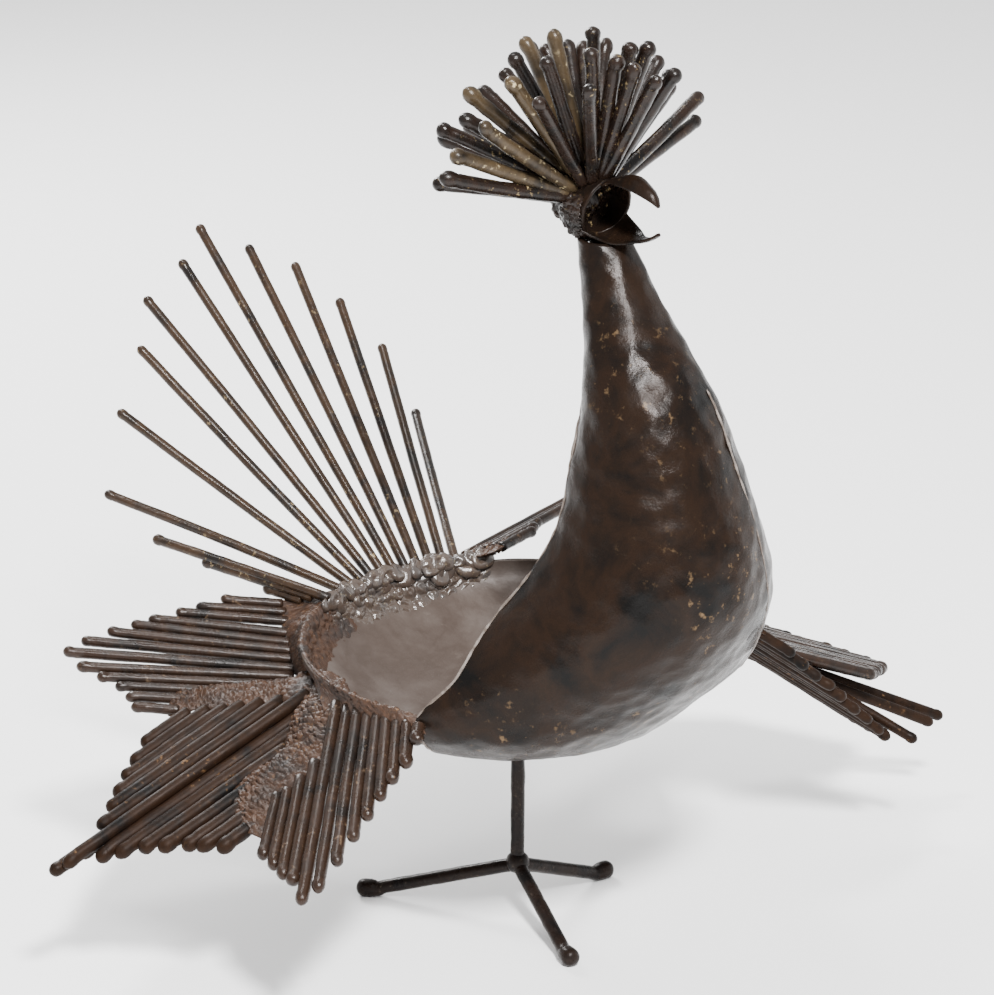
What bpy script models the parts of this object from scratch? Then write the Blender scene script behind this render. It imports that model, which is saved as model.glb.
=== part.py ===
"""Welded iron rooster: a round dish and a breast plate as the body, a beak rolled from sheet, a crest,
an arched tail fan and two star-shaped wings of parallel rods, on one leg with three toes.

Metres, +Z up. The bird looks along +X, its left side is +Y, and its foot rests on z = 0 with the leg on
the Z axis.
"""

import math

import bmesh
import bpy
from mathutils import Matrix, Vector

# Sheet and rod stock
SHEET = 0.0020
BEAK_SHEET = 0.0016
FEATHER_RADIUS = 0.00275
CREST_RADIUS = 0.0036
LEG_RADIUS = 0.0037
GAP = 0.0003
BALL_SWELL = 1.25
END_SWELL = 1.12
BAR_SIDES = 5

# Dish that makes the lower body and the back
RIM_HEIGHT = 0.1576
DISH_RADIUS = 0.1165
DISH_DEPTH = 0.0430
# The wall's inner edge stands this much over the outer one
RIM_LIP = 0.0007
DISH_FORWARD = 0.0062
DISH_SEGMENTS = 48
DISH_LEVELS = 6

# Breast plate: at the rim it wraps the front of the dish, above it rises into a rolled neck
PLATE_COLUMNS = 9
PLATE_LAST_LEVEL = 5
# The neck's top is this much under the middle of the head
HEAD_HEIGHT = 0.4015
NECK_UNDER = 0.0165
NECK_TOP = HEAD_HEIGHT - NECK_UNDER
BREAST_ROWS = 12
# Share of the height from rim to neck top: forward place of the arc's centre, its outer radius and half
# its angle in degrees
BREAST_SHAPE = (
    (0.00, None, None, 67.5),
    (0.10, 0.0478, 0.0952, 78.0),
    (0.25, 0.0884, 0.0692, 92.0),
    (0.39, 0.1040, 0.0528, 105.0),
    (0.53, 0.1030, 0.0426, 120.0),
    (0.69, 0.0978, 0.0317, 143.0),
    (0.86, 0.0785, 0.0200, 166.0),
    (1.00, 0.0634, 0.0125, 170.0),
)

# Head: a short pipe with an upper and a lower beak blade
HEAD_RADIUS = 0.0155
HEAD_BACK = 0.0430
HEAD_MOUTH = 0.0680
BLADE_LENGTH = 0.0345
BLADE_ROWS = 4
UPPER_DROOP = 0.0065
LOWER_RISE = 0.0100
HEAD_SIDES = 20

# Crest: rows of rods that burst from a weld knot over the head
CREST_FORWARD = 0.0490
CREST_OVER = 0.0025
CREST_CENTRE = (CREST_FORWARD, 0.0, HEAD_HEIGHT + CREST_OVER)
CREST_LENGTH = 0.0850
KNOT_SIZE = (0.0220, 0.0190, 0.0195)
# Rods in the row, its first and last angle across the view from the front right, the lean of the row
# toward that view, and the length of its rods as a share
CREST_ROWS = (
    (11, 39.0, 176.0, -22.0, 1.00),
    (13, 45.0, 172.0, 2.0, 1.00),
    (9, 58.0, 150.0, 26.0, 0.98),
    (4, 72.0, 134.0, 50.0, 0.92),
)
# The rows spread across a plane that faces this far round from straight behind, and this far up
CREST_FACING = 50.0
CREST_TILT = 20.0
CREST_START = 0.0100

# Tail fan: rods on the back of the rim, mirrored about the middle one
FAN_RODS = 11
FAN_PITCH = 0.0071
FAN_OFFSET = 0.0055
# Side distance, height and distance behind the leg of the tips, from the middle rod outward
FAN_TIPS = (
    (0.0000, 0.3177, 0.2746),
    (0.0229, 0.3052, 0.2600),
    (0.0510, 0.2907, 0.2548),
    (0.0686, 0.2704, 0.2371),
    (0.0905, 0.2413, 0.2267),
    (0.1071, 0.2007, 0.2174),
)
BEAD_RADIUS = 0.0048
BEAD_INSET = 0.0025
BEAD_FIRST = 154.0
BEAD_LAST = 208.0
BEAD_STEPS = 12

# Three loose rods under the fan, on the right: length of each
SPRAY_LENGTHS = (0.0890, 0.0580, 0.0200)
SPRAY_SEAT = (154.248, 0.01584, 0.0139)
SPRAY_DIRECTION = (-0.907, -0.386, 0.085)

# Wings: rods side by side in three flat leaves; web plates fill the seams between the leaves.
# Seats and directions are those of the right wing; the left wing mirrors the seats.
LEAF_RADIUS = 0.0030
WEB_THICKNESS = 0.0026
WEB_WIDTH = 0.0090
WEB_REACH = 0.0300
# Seats round the dish: degrees round from straight ahead, outward from the dish's edge, over the rim
REAR_SEAT = (153.947, 0.01373, -0.0026)
MIDDLE_SEAT = (115.470, -0.00651, -0.0177)
FRONT_SEAT = (81.413, -0.00131, -0.0058)
REAR_SEAM_END = (125.285, 0.05991, -0.0338)
FRONT_SEAM_START = (104.509, -0.00474, -0.0120)
FRONT_SEAM_END = (89.808, 0.06290, -0.0562)
REAR_COUNT, REAR_FIRST, REAR_PITCH = 13, -0.0026, 0.0060
MIDDLE_COUNT, MIDDLE_FIRST, MIDDLE_PITCH = 14, -0.0447, 0.0077
FRONT_COUNT, FRONT_FIRST, FRONT_PITCH = 13, -0.0499, 0.0065
# Where the rods of each leaf start: along the rim, and from where on along the seam
REAR_ROOT_START = 0.0109
REAR_ROOT_TURN = 0.0556
REAR_ROOT_LIFT = 0.0026
MIDDLE_ROOT_LIFT = 0.0030
FRONT_ROOT_START = -0.0125
FRONT_ROOT_TURN = -0.0234
# Longest rod's index and reach, drop to its neighbours, then drop per rod on either side
REAR_REACH = (7, 0.1238, 0.0088, 0.0088, 0.0116, 0.0082)
MIDDLE_REACH = (6, 0.1680, 0.0348, 0.0224, 0.0092, 0.0075)
FRONT_REACH = (4, 0.1076, 0.0078, 0.0062, 0.0078, 0.0109)
RIGHT_REAR_RUN = (-0.622, -0.782, 0.040)
RIGHT_REAR_ACROSS = (0.687, -0.569, -0.452)
RIGHT_MIDDLE_RUN = (-0.122, -0.911, -0.393)
RIGHT_MIDDLE_ACROSS = (0.990, -0.087, -0.106)
RIGHT_FRONT_RUN = (0.561, -0.639, -0.525)
RIGHT_FRONT_ACROSS = (0.826, 0.460, 0.323)
LEFT_REAR_RUN = (-0.170, 0.980, 0.080)
LEFT_REAR_ACROSS = (0.900, 0.100, 0.420)
LEFT_REAR_COUNT = 6
LEFT_REAR_REACH = (0, 0.1300, 0.0, 0.0600, 0.0, 0.0080)
LEFT_MIDDLE_RUN = (0.350, 0.866, -0.346)
LEFT_MIDDLE_ACROSS = (0.970, 0.050, 0.000)
LEFT_MIDDLE_REACH = (6, 0.1760, 0.0100, 0.0060, 0.0092, 0.0052)
LEFT_MAIN_RUN = (0.369, 0.828, -0.423)
LEFT_MAIN_REACH = 0.2180
LEFT_MAIN_STEP = 0.0100
LEFT_FRONT_LOWER = 0.0050
LEFT_FRONT_RUN = (0.561, 0.639, -0.560)
LEFT_FRONT_ACROSS = (0.800, -0.450, 0.480)
LEFT_FRONT_REACH = (4, 0.1266, 0.0078, 0.0062, 0.0078, 0.0109)

# Foot: height of the knot where three toes meet the leg, each toe's reach and heading
ANKLE_HEIGHT = 0.0286
ANKLE_RADIUS = 0.0062
TOE_RADIUS = 0.0037
TOE_TIP_RADIUS = 0.0052
TOE_PAD = 0.0008
TOES = (("toe_front", 0.0697, -17.4), ("toe_left", 0.0629, 90.9), ("toe_back", 0.0839, 217.0))

IRON_DARK = (0.060, 0.048, 0.043, 1.0)
IRON_BROWN = (0.095, 0.070, 0.055, 1.0)
IRON_GREY = (0.200, 0.175, 0.160, 1.0)


def clear_scene():
    for old in list(bpy.data.objects):
        bpy.data.objects.remove(old, do_unlink=True)


def new_collection(name, hidden):
    made = bpy.data.collections.new(name)
    bpy.context.scene.collection.children.link(made)
    made.hide_render = hidden
    return made


def iron(name, colour, roughness):
    material = bpy.data.materials.new(name)
    material.use_nodes = True
    shader = material.node_tree.nodes["Principled BSDF"]
    shader.inputs["Base Color"].default_value = colour
    shader.inputs["Roughness"].default_value = roughness
    shader.inputs["Metallic"].default_value = 0.85
    return material


def add_object(name, mesh, material, collection):
    made = bpy.data.objects.new(name, mesh)
    collection.objects.link(made)
    if material:
        mesh.materials.clear()
        mesh.materials.append(material)
    return made


def mesh_of(name, shape):
    mesh = bpy.data.meshes.new(name)
    shape.to_mesh(mesh)
    shape.free()
    mesh.shade_smooth()
    mesh.set_sharp_from_angle(angle=math.radians(40))
    return mesh


def loft(shape, rings, closed):
    """Quads between rings of points that have the same count."""
    rows = [[shape.verts.new(point) for point in ring] for ring in rings]
    for low, high in zip(rows, rows[1:]):
        count = len(low)
        for k in range(count if closed else count - 1):
            after = (k + 1) % count
            shape.faces.new((low[k], low[after], high[after], high[k]))
    return rows


def smooth_value(stations, place):
    """Smooth curve through (place, value) stations, flat beyond its ends."""
    if place <= stations[0][0]:
        return stations[0][1]
    for k in range(len(stations) - 1):
        (x0, y0), (x1, y1) = stations[k], stations[k + 1]
        if place <= x1:
            before = stations[k - 1] if k else stations[k]
            after = stations[k + 2] if k + 2 < len(stations) else stations[k + 1]
            slope0 = (y1 - before[1]) / (x1 - before[0])
            slope1 = (after[1] - y0) / (after[0] - x0)
            t = (place - x0) / (x1 - x0)
            span = x1 - x0
            return (
                (2 * t**3 - 3 * t**2 + 1) * y0
                + (t**3 - 2 * t**2 + t) * span * slope0
                + (3 * t**2 - 2 * t**3) * y1
                + (t**3 - t**2) * span * slope1
            )
    return stations[-1][1]


def dish_ring(radius, depth, level, angles):
    """Points of the dish's outer face at one level, 0 at the rim and 1 at the bottom."""
    sink = level * math.pi / 2
    wide = radius * math.cos(sink)
    height = RIM_HEIGHT - depth * math.sin(sink)
    return [
        Vector((DISH_FORWARD + wide * math.cos(a), wide * math.sin(a), height)) for a in angles
    ]


def seat(place):
    """Point of the right side at (degrees round, outward from the dish's edge, over the rim)."""
    turn, outward, lift = math.radians(place[0]), place[1], place[2]
    reach = DISH_RADIUS + outward
    return Vector((DISH_FORWARD + reach * math.cos(turn), -reach * math.sin(turn), RIM_HEIGHT + lift))


def round_angles(count):
    return [2 * math.pi * k / count for k in range(count)]


def dish_surface(shape, radius, depth):
    angles = round_angles(DISH_SEGMENTS)
    levels = [k / DISH_LEVELS for k in range(DISH_LEVELS)]
    rows = loft(shape, [dish_ring(radius, depth, level, angles) for level in levels], True)
    pole = shape.verts.new((DISH_FORWARD, 0.0, RIM_HEIGHT - depth))
    last = rows[-1]
    for k, corner in enumerate(last):
        shape.faces.new((corner, last[(k + 1) % len(last)], pole))
    return rows


def make_dish(material, collection):
    shape = bmesh.new()
    dish_surface(shape, DISH_RADIUS, DISH_DEPTH)
    bmesh.ops.recalc_face_normals(shape, faces=shape.faces)
    dish = add_object("back_dish", mesh_of("back_dish", shape), material, collection)
    thicken(dish, SHEET, -1.0)
    return dish


def thicken(piece, thickness, side):
    wall = piece.modifiers.new("wall", "SOLIDIFY")
    wall.thickness = thickness
    wall.offset = side
    return wall


def make_dish_envelope(cutters):
    """Solid that fills the dish and the air above it, one gap larger: what is welded on stops at it."""
    shape = bmesh.new()
    rows = dish_surface(shape, DISH_RADIUS + GAP, DISH_DEPTH + GAP)
    lid = bmesh.ops.extrude_edge_only(shape, edges=[e for e in shape.edges if e.is_boundary])
    raised = [v for v in lid["geom"] if isinstance(v, bmesh.types.BMVert)]
    bmesh.ops.translate(shape, verts=raised, vec=(0.0, 0.0, DISH_RADIUS))
    bmesh.ops.contextual_create(shape, geom=[e for e in shape.edges if e.is_boundary])
    bmesh.ops.recalc_face_normals(shape, faces=shape.faces)
    return add_cutter("dish_envelope", shape, cutters)


def add_cutter(name, shape, cutters):
    cutter = add_object(name, mesh_of(name, shape), None, cutters)
    cutter.hide_render = True
    cutter.display_type = "WIRE"
    return cutter


def breast_section(share):
    """Centre, radius and half angle of the breast plate's inner face at a share of its height."""
    rim_radius = DISH_RADIUS + GAP
    forward = [(s, DISH_FORWARD if x is None else x) for s, x, r, a in BREAST_SHAPE]
    radius = [(s, rim_radius if r is None else r - SHEET) for s, x, r, a in BREAST_SHAPE]
    angle = [(s, a) for s, x, r, a in BREAST_SHAPE]
    return (
        smooth_value(forward, share),
        smooth_value(radius, share),
        math.radians(smooth_value(angle, share)),
    )


def breast_rings(spread=1.0):
    plate_steps = range(-PLATE_COLUMNS, PLATE_COLUMNS + 1)
    step = 2 * math.pi / DISH_SEGMENTS
    rings = []
    for k in range(PLATE_LAST_LEVEL, 0, -1):
        angles = [step * j * spread for j in plate_steps]
        rings.append(dish_ring(DISH_RADIUS + GAP, DISH_DEPTH + GAP, k / DISH_LEVELS, angles))
    for k in range(BREAST_ROWS + 1):
        share = k / BREAST_ROWS
        forward, radius, half = breast_section(share)
        height = RIM_HEIGHT + share * (NECK_TOP - RIM_HEIGHT)
        ring = []
        for j in plate_steps:
            turn = spread * half * j / PLATE_COLUMNS
            ring.append(
                Vector((forward + radius * math.cos(turn), radius * math.sin(turn), height))
            )
        rings.append(ring)
    return rings


def make_breast(material, collection):
    shape = bmesh.new()
    loft(shape, breast_rings(), False)
    plate = add_object("breast_plate", mesh_of("breast_plate", shape), material, collection)
    thicken(plate, SHEET, 1.0)
    return plate


def make_beak(material, collection):
    """Rolled pipe open at both ends, with a pointed blade drawn out of its top and its bottom."""
    rings = []
    for forward in (HEAD_BACK, (HEAD_BACK + HEAD_MOUTH) / 2, HEAD_MOUTH):
        rings.append([
            Vector((forward, HEAD_RADIUS * math.cos(a), HEAD_HEIGHT + HEAD_RADIUS * math.sin(a)))
            for a in round_angles(HEAD_SIDES)
        ])
    shape = bmesh.new()
    rows = loft(shape, rings, True)
    for middle, droop in ((HEAD_SIDES // 4, -UPPER_DROOP), (3 * HEAD_SIDES // 4, LOWER_RISE)):
        reach = HEAD_SIDES // 4 - 1
        edge = [rows[-1][(middle + j) % HEAD_SIDES] for j in range(-reach, reach + 1)]
        for k in range(1, BLADE_ROWS + 1):
            share = k / BLADE_ROWS
            narrow = 1.0 - 0.93 * share
            row = []
            for j in range(-reach, reach + 1):
                turn = math.tau * (middle + j * narrow) / HEAD_SIDES
                row.append(shape.verts.new((
                    HEAD_MOUTH + BLADE_LENGTH * share,
                    HEAD_RADIUS * math.cos(turn),
                    HEAD_HEIGHT + HEAD_RADIUS * math.sin(turn) + droop * share**2,
                )))
            for j in range(len(row) - 1):
                shape.faces.new((edge[j], edge[j + 1], row[j + 1], row[j]))
            edge = row
    bmesh.ops.recalc_face_normals(shape, faces=shape.faces)
    beak = add_object("beak", mesh_of("beak", shape), material, collection)
    thicken(beak, BEAK_SHEET, -1.0)
    return beak


def ball_ended(start, end, radius):
    """Centre points and radii of a bar whose far end is melted into a ball."""
    start, end = Vector(start), Vector(end)
    along = (end - start).normalized()
    return [
        (start, radius),
        (end - along * radius * 2.4, radius),
        (end - along * radius, radius * BALL_SWELL),
        (end, radius * 0.7),
    ]


def plain_ended(start, end, radius):
    """The same for the close-set wing and crest bars, whose ends swell less."""
    start, end = Vector(start), Vector(end)
    along = (end - start).normalized()
    return [(start, radius), (end - along * radius * 1.5, radius * END_SWELL), (end, radius * 0.8)]


def add_tube(shape, stations, sides):
    """Closed bar through (centre, radius) stations."""
    centres = [centre for centre, _ in stations]
    direction = (centres[-1] - centres[0]).normalized()
    side = direction.orthogonal().normalized()
    rings = []
    for k, (centre, radius) in enumerate(stations):
        ahead = centres[min(k + 1, len(centres) - 1)] - centres[max(k - 1, 0)]
        ahead.normalize()
        side = (side - ahead * side.dot(ahead)).normalized()
        across = ahead.cross(side)
        rings.append([
            centre + radius * (side * math.cos(a) + across * math.sin(a)) for a in round_angles(sides)
        ])
    rows = loft(shape, rings, True)
    shape.faces.new(rows[0][::-1])
    shape.faces.new(rows[-1])
    return rows


def tube_mesh(name, stations, sides):
    shape = bmesh.new()
    add_tube(shape, stations, sides)
    bmesh.ops.recalc_face_normals(shape, faces=shape.faces)
    return mesh_of(name, shape)


def add_bar(name, stations, material, collection, sides=BAR_SIDES):
    return add_object(name, tube_mesh(name, stations, sides), material, collection)


def box_loft(name, sections, collection, material=None):
    """Closed plate through four-cornered sections."""
    shape = bmesh.new()
    rows = loft(shape, sections, True)
    shape.faces.new(rows[0][::-1])
    shape.faces.new(rows[-1])
    bmesh.ops.recalc_face_normals(shape, faces=shape.faces)
    return add_object(name, mesh_of(name, shape), material, collection)


def lump(name, centre, sizes, material, collection, fineness=2):
    """Lump of weld metal."""
    shape = bmesh.new()
    bmesh.ops.create_icosphere(shape, subdivisions=fineness, radius=1.0)
    bmesh.ops.scale(shape, verts=shape.verts, vec=sizes)
    bmesh.ops.translate(shape, verts=shape.verts, vec=centre)
    return add_object(name, mesh_of(name, shape), material, collection)


def boolean(body, operation, pieces):
    for piece in pieces:
        step = body.modifiers.new(operation.lower(), "BOOLEAN")
        step.operation = operation
        step.solver = "EXACT"
        step.object = piece


def fuse(name, pieces, cutters, material, collection):
    """One solid: the overlapping pieces joined, then cut; the pieces are used up."""
    body = pieces[0]
    boolean(body, "UNION", pieces[1:])
    boolean(body, "DIFFERENCE", cutters)
    graph = bpy.context.evaluated_depsgraph_get()
    mesh = bpy.data.meshes.new_from_object(body.evaluated_get(graph))
    for piece in pieces:
        bpy.data.objects.remove(piece, do_unlink=True)
    shape = bmesh.new()
    shape.from_mesh(mesh)
    bpy.data.meshes.remove(mesh)
    bmesh.ops.remove_doubles(shape, verts=shape.verts, dist=0.00001)
    bmesh.ops.dissolve_degenerate(shape, edges=shape.edges, dist=0.00001)
    keep_largest(shape)
    return add_object(name, mesh_of(name, shape), material, collection)


def keep_largest(shape):
    """Drops the crumbs that a cut leaves beside the piece."""
    left = set(shape.verts)
    islands = []
    while left:
        front = [left.pop()]
        island = list(front)
        while front:
            near = {e.other_vert(v) for v in front for e in v.link_edges} & left
            left -= near
            front = list(near)
            island += front
        islands.append(island)
    islands.sort(key=len)
    for island in islands[:-1]:
        bmesh.ops.delete(shape, geom=island, context="VERTS")


def bead_shape(swell):
    """Half-round weld bead that lies on the rear of the rim; swell makes its larger envelope."""
    radius = BEAD_RADIUS + swell
    floor = RIM_HEIGHT + RIM_LIP + GAP - swell
    sections = []
    for k in range(BEAD_STEPS + 1):
        turn = math.radians(BEAD_FIRST + (BEAD_LAST - BEAD_FIRST) * k / BEAD_STEPS)
        outward = Vector((math.cos(turn), math.sin(turn), 0.0))
        centre = Vector((DISH_FORWARD, 0.0, floor)) + outward * (DISH_RADIUS - BEAD_INSET)
        if k in (0, BEAD_STEPS) and swell:
            centre += Vector((-outward.y, outward.x, 0.0)) * (swell if k else -swell)
        sections.append([
            centre + outward * radius * math.cos(a) + Vector((0.0, 0.0, radius * math.sin(a)))
            for a in (0.0, 0.79, 1.57, 2.36, 3.1416)
        ])
    shape = bmesh.new()
    rows = loft(shape, sections, True)
    shape.faces.new(rows[0][::-1])
    shape.faces.new(rows[-1])
    bmesh.ops.recalc_face_normals(shape, faces=shape.faces)
    return shape


def make_fan(bead_envelope, material, collection):
    half = FAN_RODS // 2
    for k in range(-half, half + 1):
        lateral, height, back = FAN_TIPS[abs(k)]
        tip = Vector((-back, math.copysign(lateral, k), height))
        foot_side = FAN_OFFSET + FAN_PITCH * k
        ring = DISH_RADIUS - BEAD_INSET
        foot_back = DISH_FORWARD - math.sqrt(ring**2 - foot_side**2)
        foot = Vector((foot_back, foot_side, RIM_HEIGHT + BEAD_RADIUS))
        name = "tail_rod_%02d" % (k + half + 1)
        rod = add_bar(name + "_bar", ball_ended(foot, tip, FEATHER_RADIUS), material, collection)
        fuse(name, [rod], [bead_envelope], material, collection)


def make_spray(cutters, material, collection):
    start = seat(SPRAY_SEAT)
    along = Vector(SPRAY_DIRECTION).normalized()
    lift = along.cross(Vector((0.0, 0.0, 1.0))).cross(along).normalized()
    bars = []
    for k, length in enumerate(SPRAY_LENGTHS):
        drop = lift * FEATHER_RADIUS * 1.6 * k
        bars.append(
            add_bar("loose_%d" % k, ball_ended(start - drop, start - drop + along * length,
                FEATHER_RADIUS), material, collection)
        )
    fuse("tail_side_spray", bars, cutters, material, collection)


class Leaf:
    """Flat leaf of parallel rods: where its origin lies, which way its rods run and what its plane holds."""

    def __init__(self, origin, along, across, count, first, pitch):
        self.origin = Vector(origin)
        self.along = Vector(along).normalized()
        across = Vector(across)
        self.across = (across - self.along * across.dot(self.along)).normalized()
        self.normal = self.along.cross(self.across).normalized()
        self.places = [first + pitch * k for k in range(count)]

    def point(self, place, reach, lift=0.0):
        return self.origin + self.across * place + self.along * reach + self.normal * lift

    def rods(self, name, roots, tips, material, collection):
        bars = []
        for k, (place, root, tip) in enumerate(zip(self.places, roots, tips)):
            ends = plain_ended(self.point(place, root), self.point(place, tip), LEAF_RADIUS)
            bars.append(add_bar("%s_%d" % (name, k), ends, material, collection))
        return bars

    def web(self, name, places, inner, outer, material, collection):
        half = WEB_THICKNESS / 2
        sections = []
        for place, low, high in zip(places, inner, outer):
            sections.append([
                self.point(place, low, -half),
                self.point(place, high, -half),
                self.point(place, high, half),
                self.point(place, low, half),
            ])
        return box_loft(name, sections, collection, material)


def tent(count, peak, top, step_before, step_after, before, after):
    """Reach of each rod: the longest, a first step down to its neighbours, then even steps."""
    reach = []
    for k in range(count):
        if k < peak:
            reach.append(top - step_before - before * (peak - 1 - k))
        elif k > peak:
            reach.append(top - step_after - after * (k - peak - 1))
        else:
            reach.append(top)
    return reach


def mirror(vector, side):
    return (vector[0], vector[1] * side, vector[2])


def half_space(name, point, normal, cutters):
    """Block that fills the side of a plane that the normal points to."""
    normal = Vector(normal).normalized()
    shape = bmesh.new()
    bmesh.ops.create_cube(shape, size=1.0)
    bmesh.ops.transform(
        shape,
        matrix=Matrix.Translation(Vector(point) + normal * 0.5)
        @ normal.to_track_quat("Z", "Y").to_matrix().to_4x4(),
        verts=shape.verts,
    )
    return add_cutter(name, shape, cutters)


def make_foot(dish_bottom, material, collection, cutters):
    floor = half_space("floor", (0.0, 0.0, 0.0), (0.0, 0.0, -1.0), cutters)
    ankle = Vector((0.0, 0.0, ANKLE_HEIGHT))
    shape = bmesh.new()
    bmesh.ops.create_icosphere(shape, subdivisions=2, radius=ANKLE_RADIUS + GAP)
    bmesh.ops.translate(shape, verts=shape.verts, vec=ankle)
    envelope = add_cutter("ankle_envelope", shape, cutters)
    top = Vector((0.0, 0.0, dish_bottom - GAP))
    leg = add_bar("leg_bar", [(ankle, LEG_RADIUS), (top, LEG_RADIUS)], material, collection, 10)
    knot = lump("leg_knot", ankle, (ANKLE_RADIUS,) * 3, material, collection)
    fuse("leg", [leg, knot], [], material, collection)
    for name, reach, heading in TOES:
        turn = math.radians(heading)
        outward = Vector((math.cos(turn), math.sin(turn), 0.0))
        tip = outward * reach + Vector((0.0, 0.0, TOE_TIP_RADIUS - TOE_PAD))
        root = ankle + Vector((0.0, 0.0, -0.001))
        ball = TOE_TIP_RADIUS
        stations = [
            (root, TOE_RADIUS),
            (tip - outward * ball * 2.4 + Vector((0.0, 0.0, ball * 0.4)), TOE_RADIUS),
            (tip - outward * ball * 0.9, ball),
            (tip + outward * ball * 0.3, ball),
            (tip + outward * ball * 0.8, ball * 0.6),
        ]
        bar = add_bar(name + "_bar", stations, material, collection, 8)
        fuse(name, [bar], [envelope, floor], material, collection)


def make_crest(cutters, material, collection):
    azimuth, tilt = math.radians(CREST_FACING), math.radians(CREST_TILT)
    right = Vector((math.cos(azimuth), math.sin(azimuth), 0.0))
    facing = Vector((
        math.sin(azimuth) * math.cos(tilt), -math.cos(azimuth) * math.cos(tilt), math.sin(tilt)
    ))
    up = facing.cross(right)
    centre = Vector(CREST_CENTRE)
    bars = [lump("crest_knot", centre, KNOT_SIZE, material, collection)]
    for count, first, last, lean, share in CREST_ROWS:
        for k in range(count):
            angle = math.radians(first + (last - first) * k / (count - 1))
            flat = right * math.cos(angle) + up * math.sin(angle)
            out = flat * math.cos(math.radians(lean)) + facing * math.sin(math.radians(lean))
            ends = plain_ended(
                centre + out * CREST_START, centre + out * CREST_LENGTH * share, CREST_RADIUS
            )
            bars.append(add_bar("crest_bar", ends, material, collection))
    return fuse("crest", bars, cutters, material, collection)


def make_head_envelopes(cutters):
    """Pipe and neck, one gap larger, as solids."""
    shape = bmesh.new()
    long = 0.030
    ends = [
        (Vector((HEAD_BACK - GAP, 0.0, HEAD_HEIGHT)), HEAD_RADIUS + GAP),
        (Vector((HEAD_MOUTH + long, 0.0, HEAD_HEIGHT)), HEAD_RADIUS + GAP),
    ]
    add_tube(shape, ends, 40)
    bmesh.ops.recalc_face_normals(shape, faces=shape.faces)
    pipe = add_cutter("pipe_envelope", shape, cutters)
    top_forward, top_radius, _ = breast_section(1.0)
    low_forward, low_radius, _ = breast_section(1.0 - 1.0 / BREAST_ROWS)
    step = (NECK_TOP - RIM_HEIGHT) / BREAST_ROWS
    shape = bmesh.new()
    ends = [
        (Vector((low_forward, 0.0, NECK_TOP - step)), low_radius + SHEET + 2 * GAP),
        (Vector((top_forward, 0.0, NECK_TOP + GAP)), top_radius + SHEET + 2 * GAP),
    ]
    add_tube(shape, ends, 40)
    bmesh.ops.recalc_face_normals(shape, faces=shape.faces)
    neck = add_cutter("neck_envelope", shape, cutters)
    return [pipe, neck]


def seam_blocks(name, start, end, one, other, cutters):
    """Two blocks that part neighbouring leaves along their seam, half a gap to either side of it."""
    start, end = Vector(start), Vector(end)
    lift = upward(one.normal) + upward(other.normal)
    toward = (end - start).cross(lift).normalized()
    if toward.dot(other.across) < 0:
        toward.negate()
    blocks = []
    for sign in (1.0, -1.0):
        edge = start + toward * sign * GAP / 2
        blocks.append(half_space(name + ("_after" if sign > 0 else "_before"), edge, toward * sign,
                                 cutters))
    return blocks


def upward(normal):
    return normal if normal.z > 0 else -normal


def rear_roots(leaf):
    """Rods start on the rim side, the last ones out along the seam."""
    return [
        max(REAR_ROOT_START - 0.38 * place, 3.4 * (place - REAR_ROOT_TURN) + REAR_ROOT_LIFT)
        for place in leaf.places
    ]


def middle_roots(leaf):
    return [max(-1.12 * place, 1.40 * place) + MIDDLE_ROOT_LIFT for place in leaf.places]


def front_roots(leaf):
    return [
        max(FRONT_ROOT_START + 0.47 * (place - FRONT_ROOT_TURN), -1.94 * (place - FRONT_ROOT_TURN))
        for place in leaf.places
    ]


def leaf_pieces(name, leaf, roots, tips, inner, material, collection):
    """Web plate and rods; the web reaches inward from the roots by the inner length."""
    bars = leaf.rods(name, roots, tips, material, collection)
    places = [leaf.places[0] - LEAF_RADIUS] + leaf.places[1:-1] + [leaf.places[-1] + LEAF_RADIUS]
    low = [root - inner for root in roots]
    high = [min(root + WEB_WIDTH, tip - WEB_WIDTH / 2) for root, tip in zip(roots, tips)]
    return [leaf.web(name + "_web", places, low, high, material, collection)] + bars


def make_leaf(name, leaf, roots, tips, inner, cut_by, material, collection):
    pieces = leaf_pieces(name, leaf, roots, tips, inner, material, collection)
    return fuse(name, pieces, cut_by, material, collection)


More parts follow.
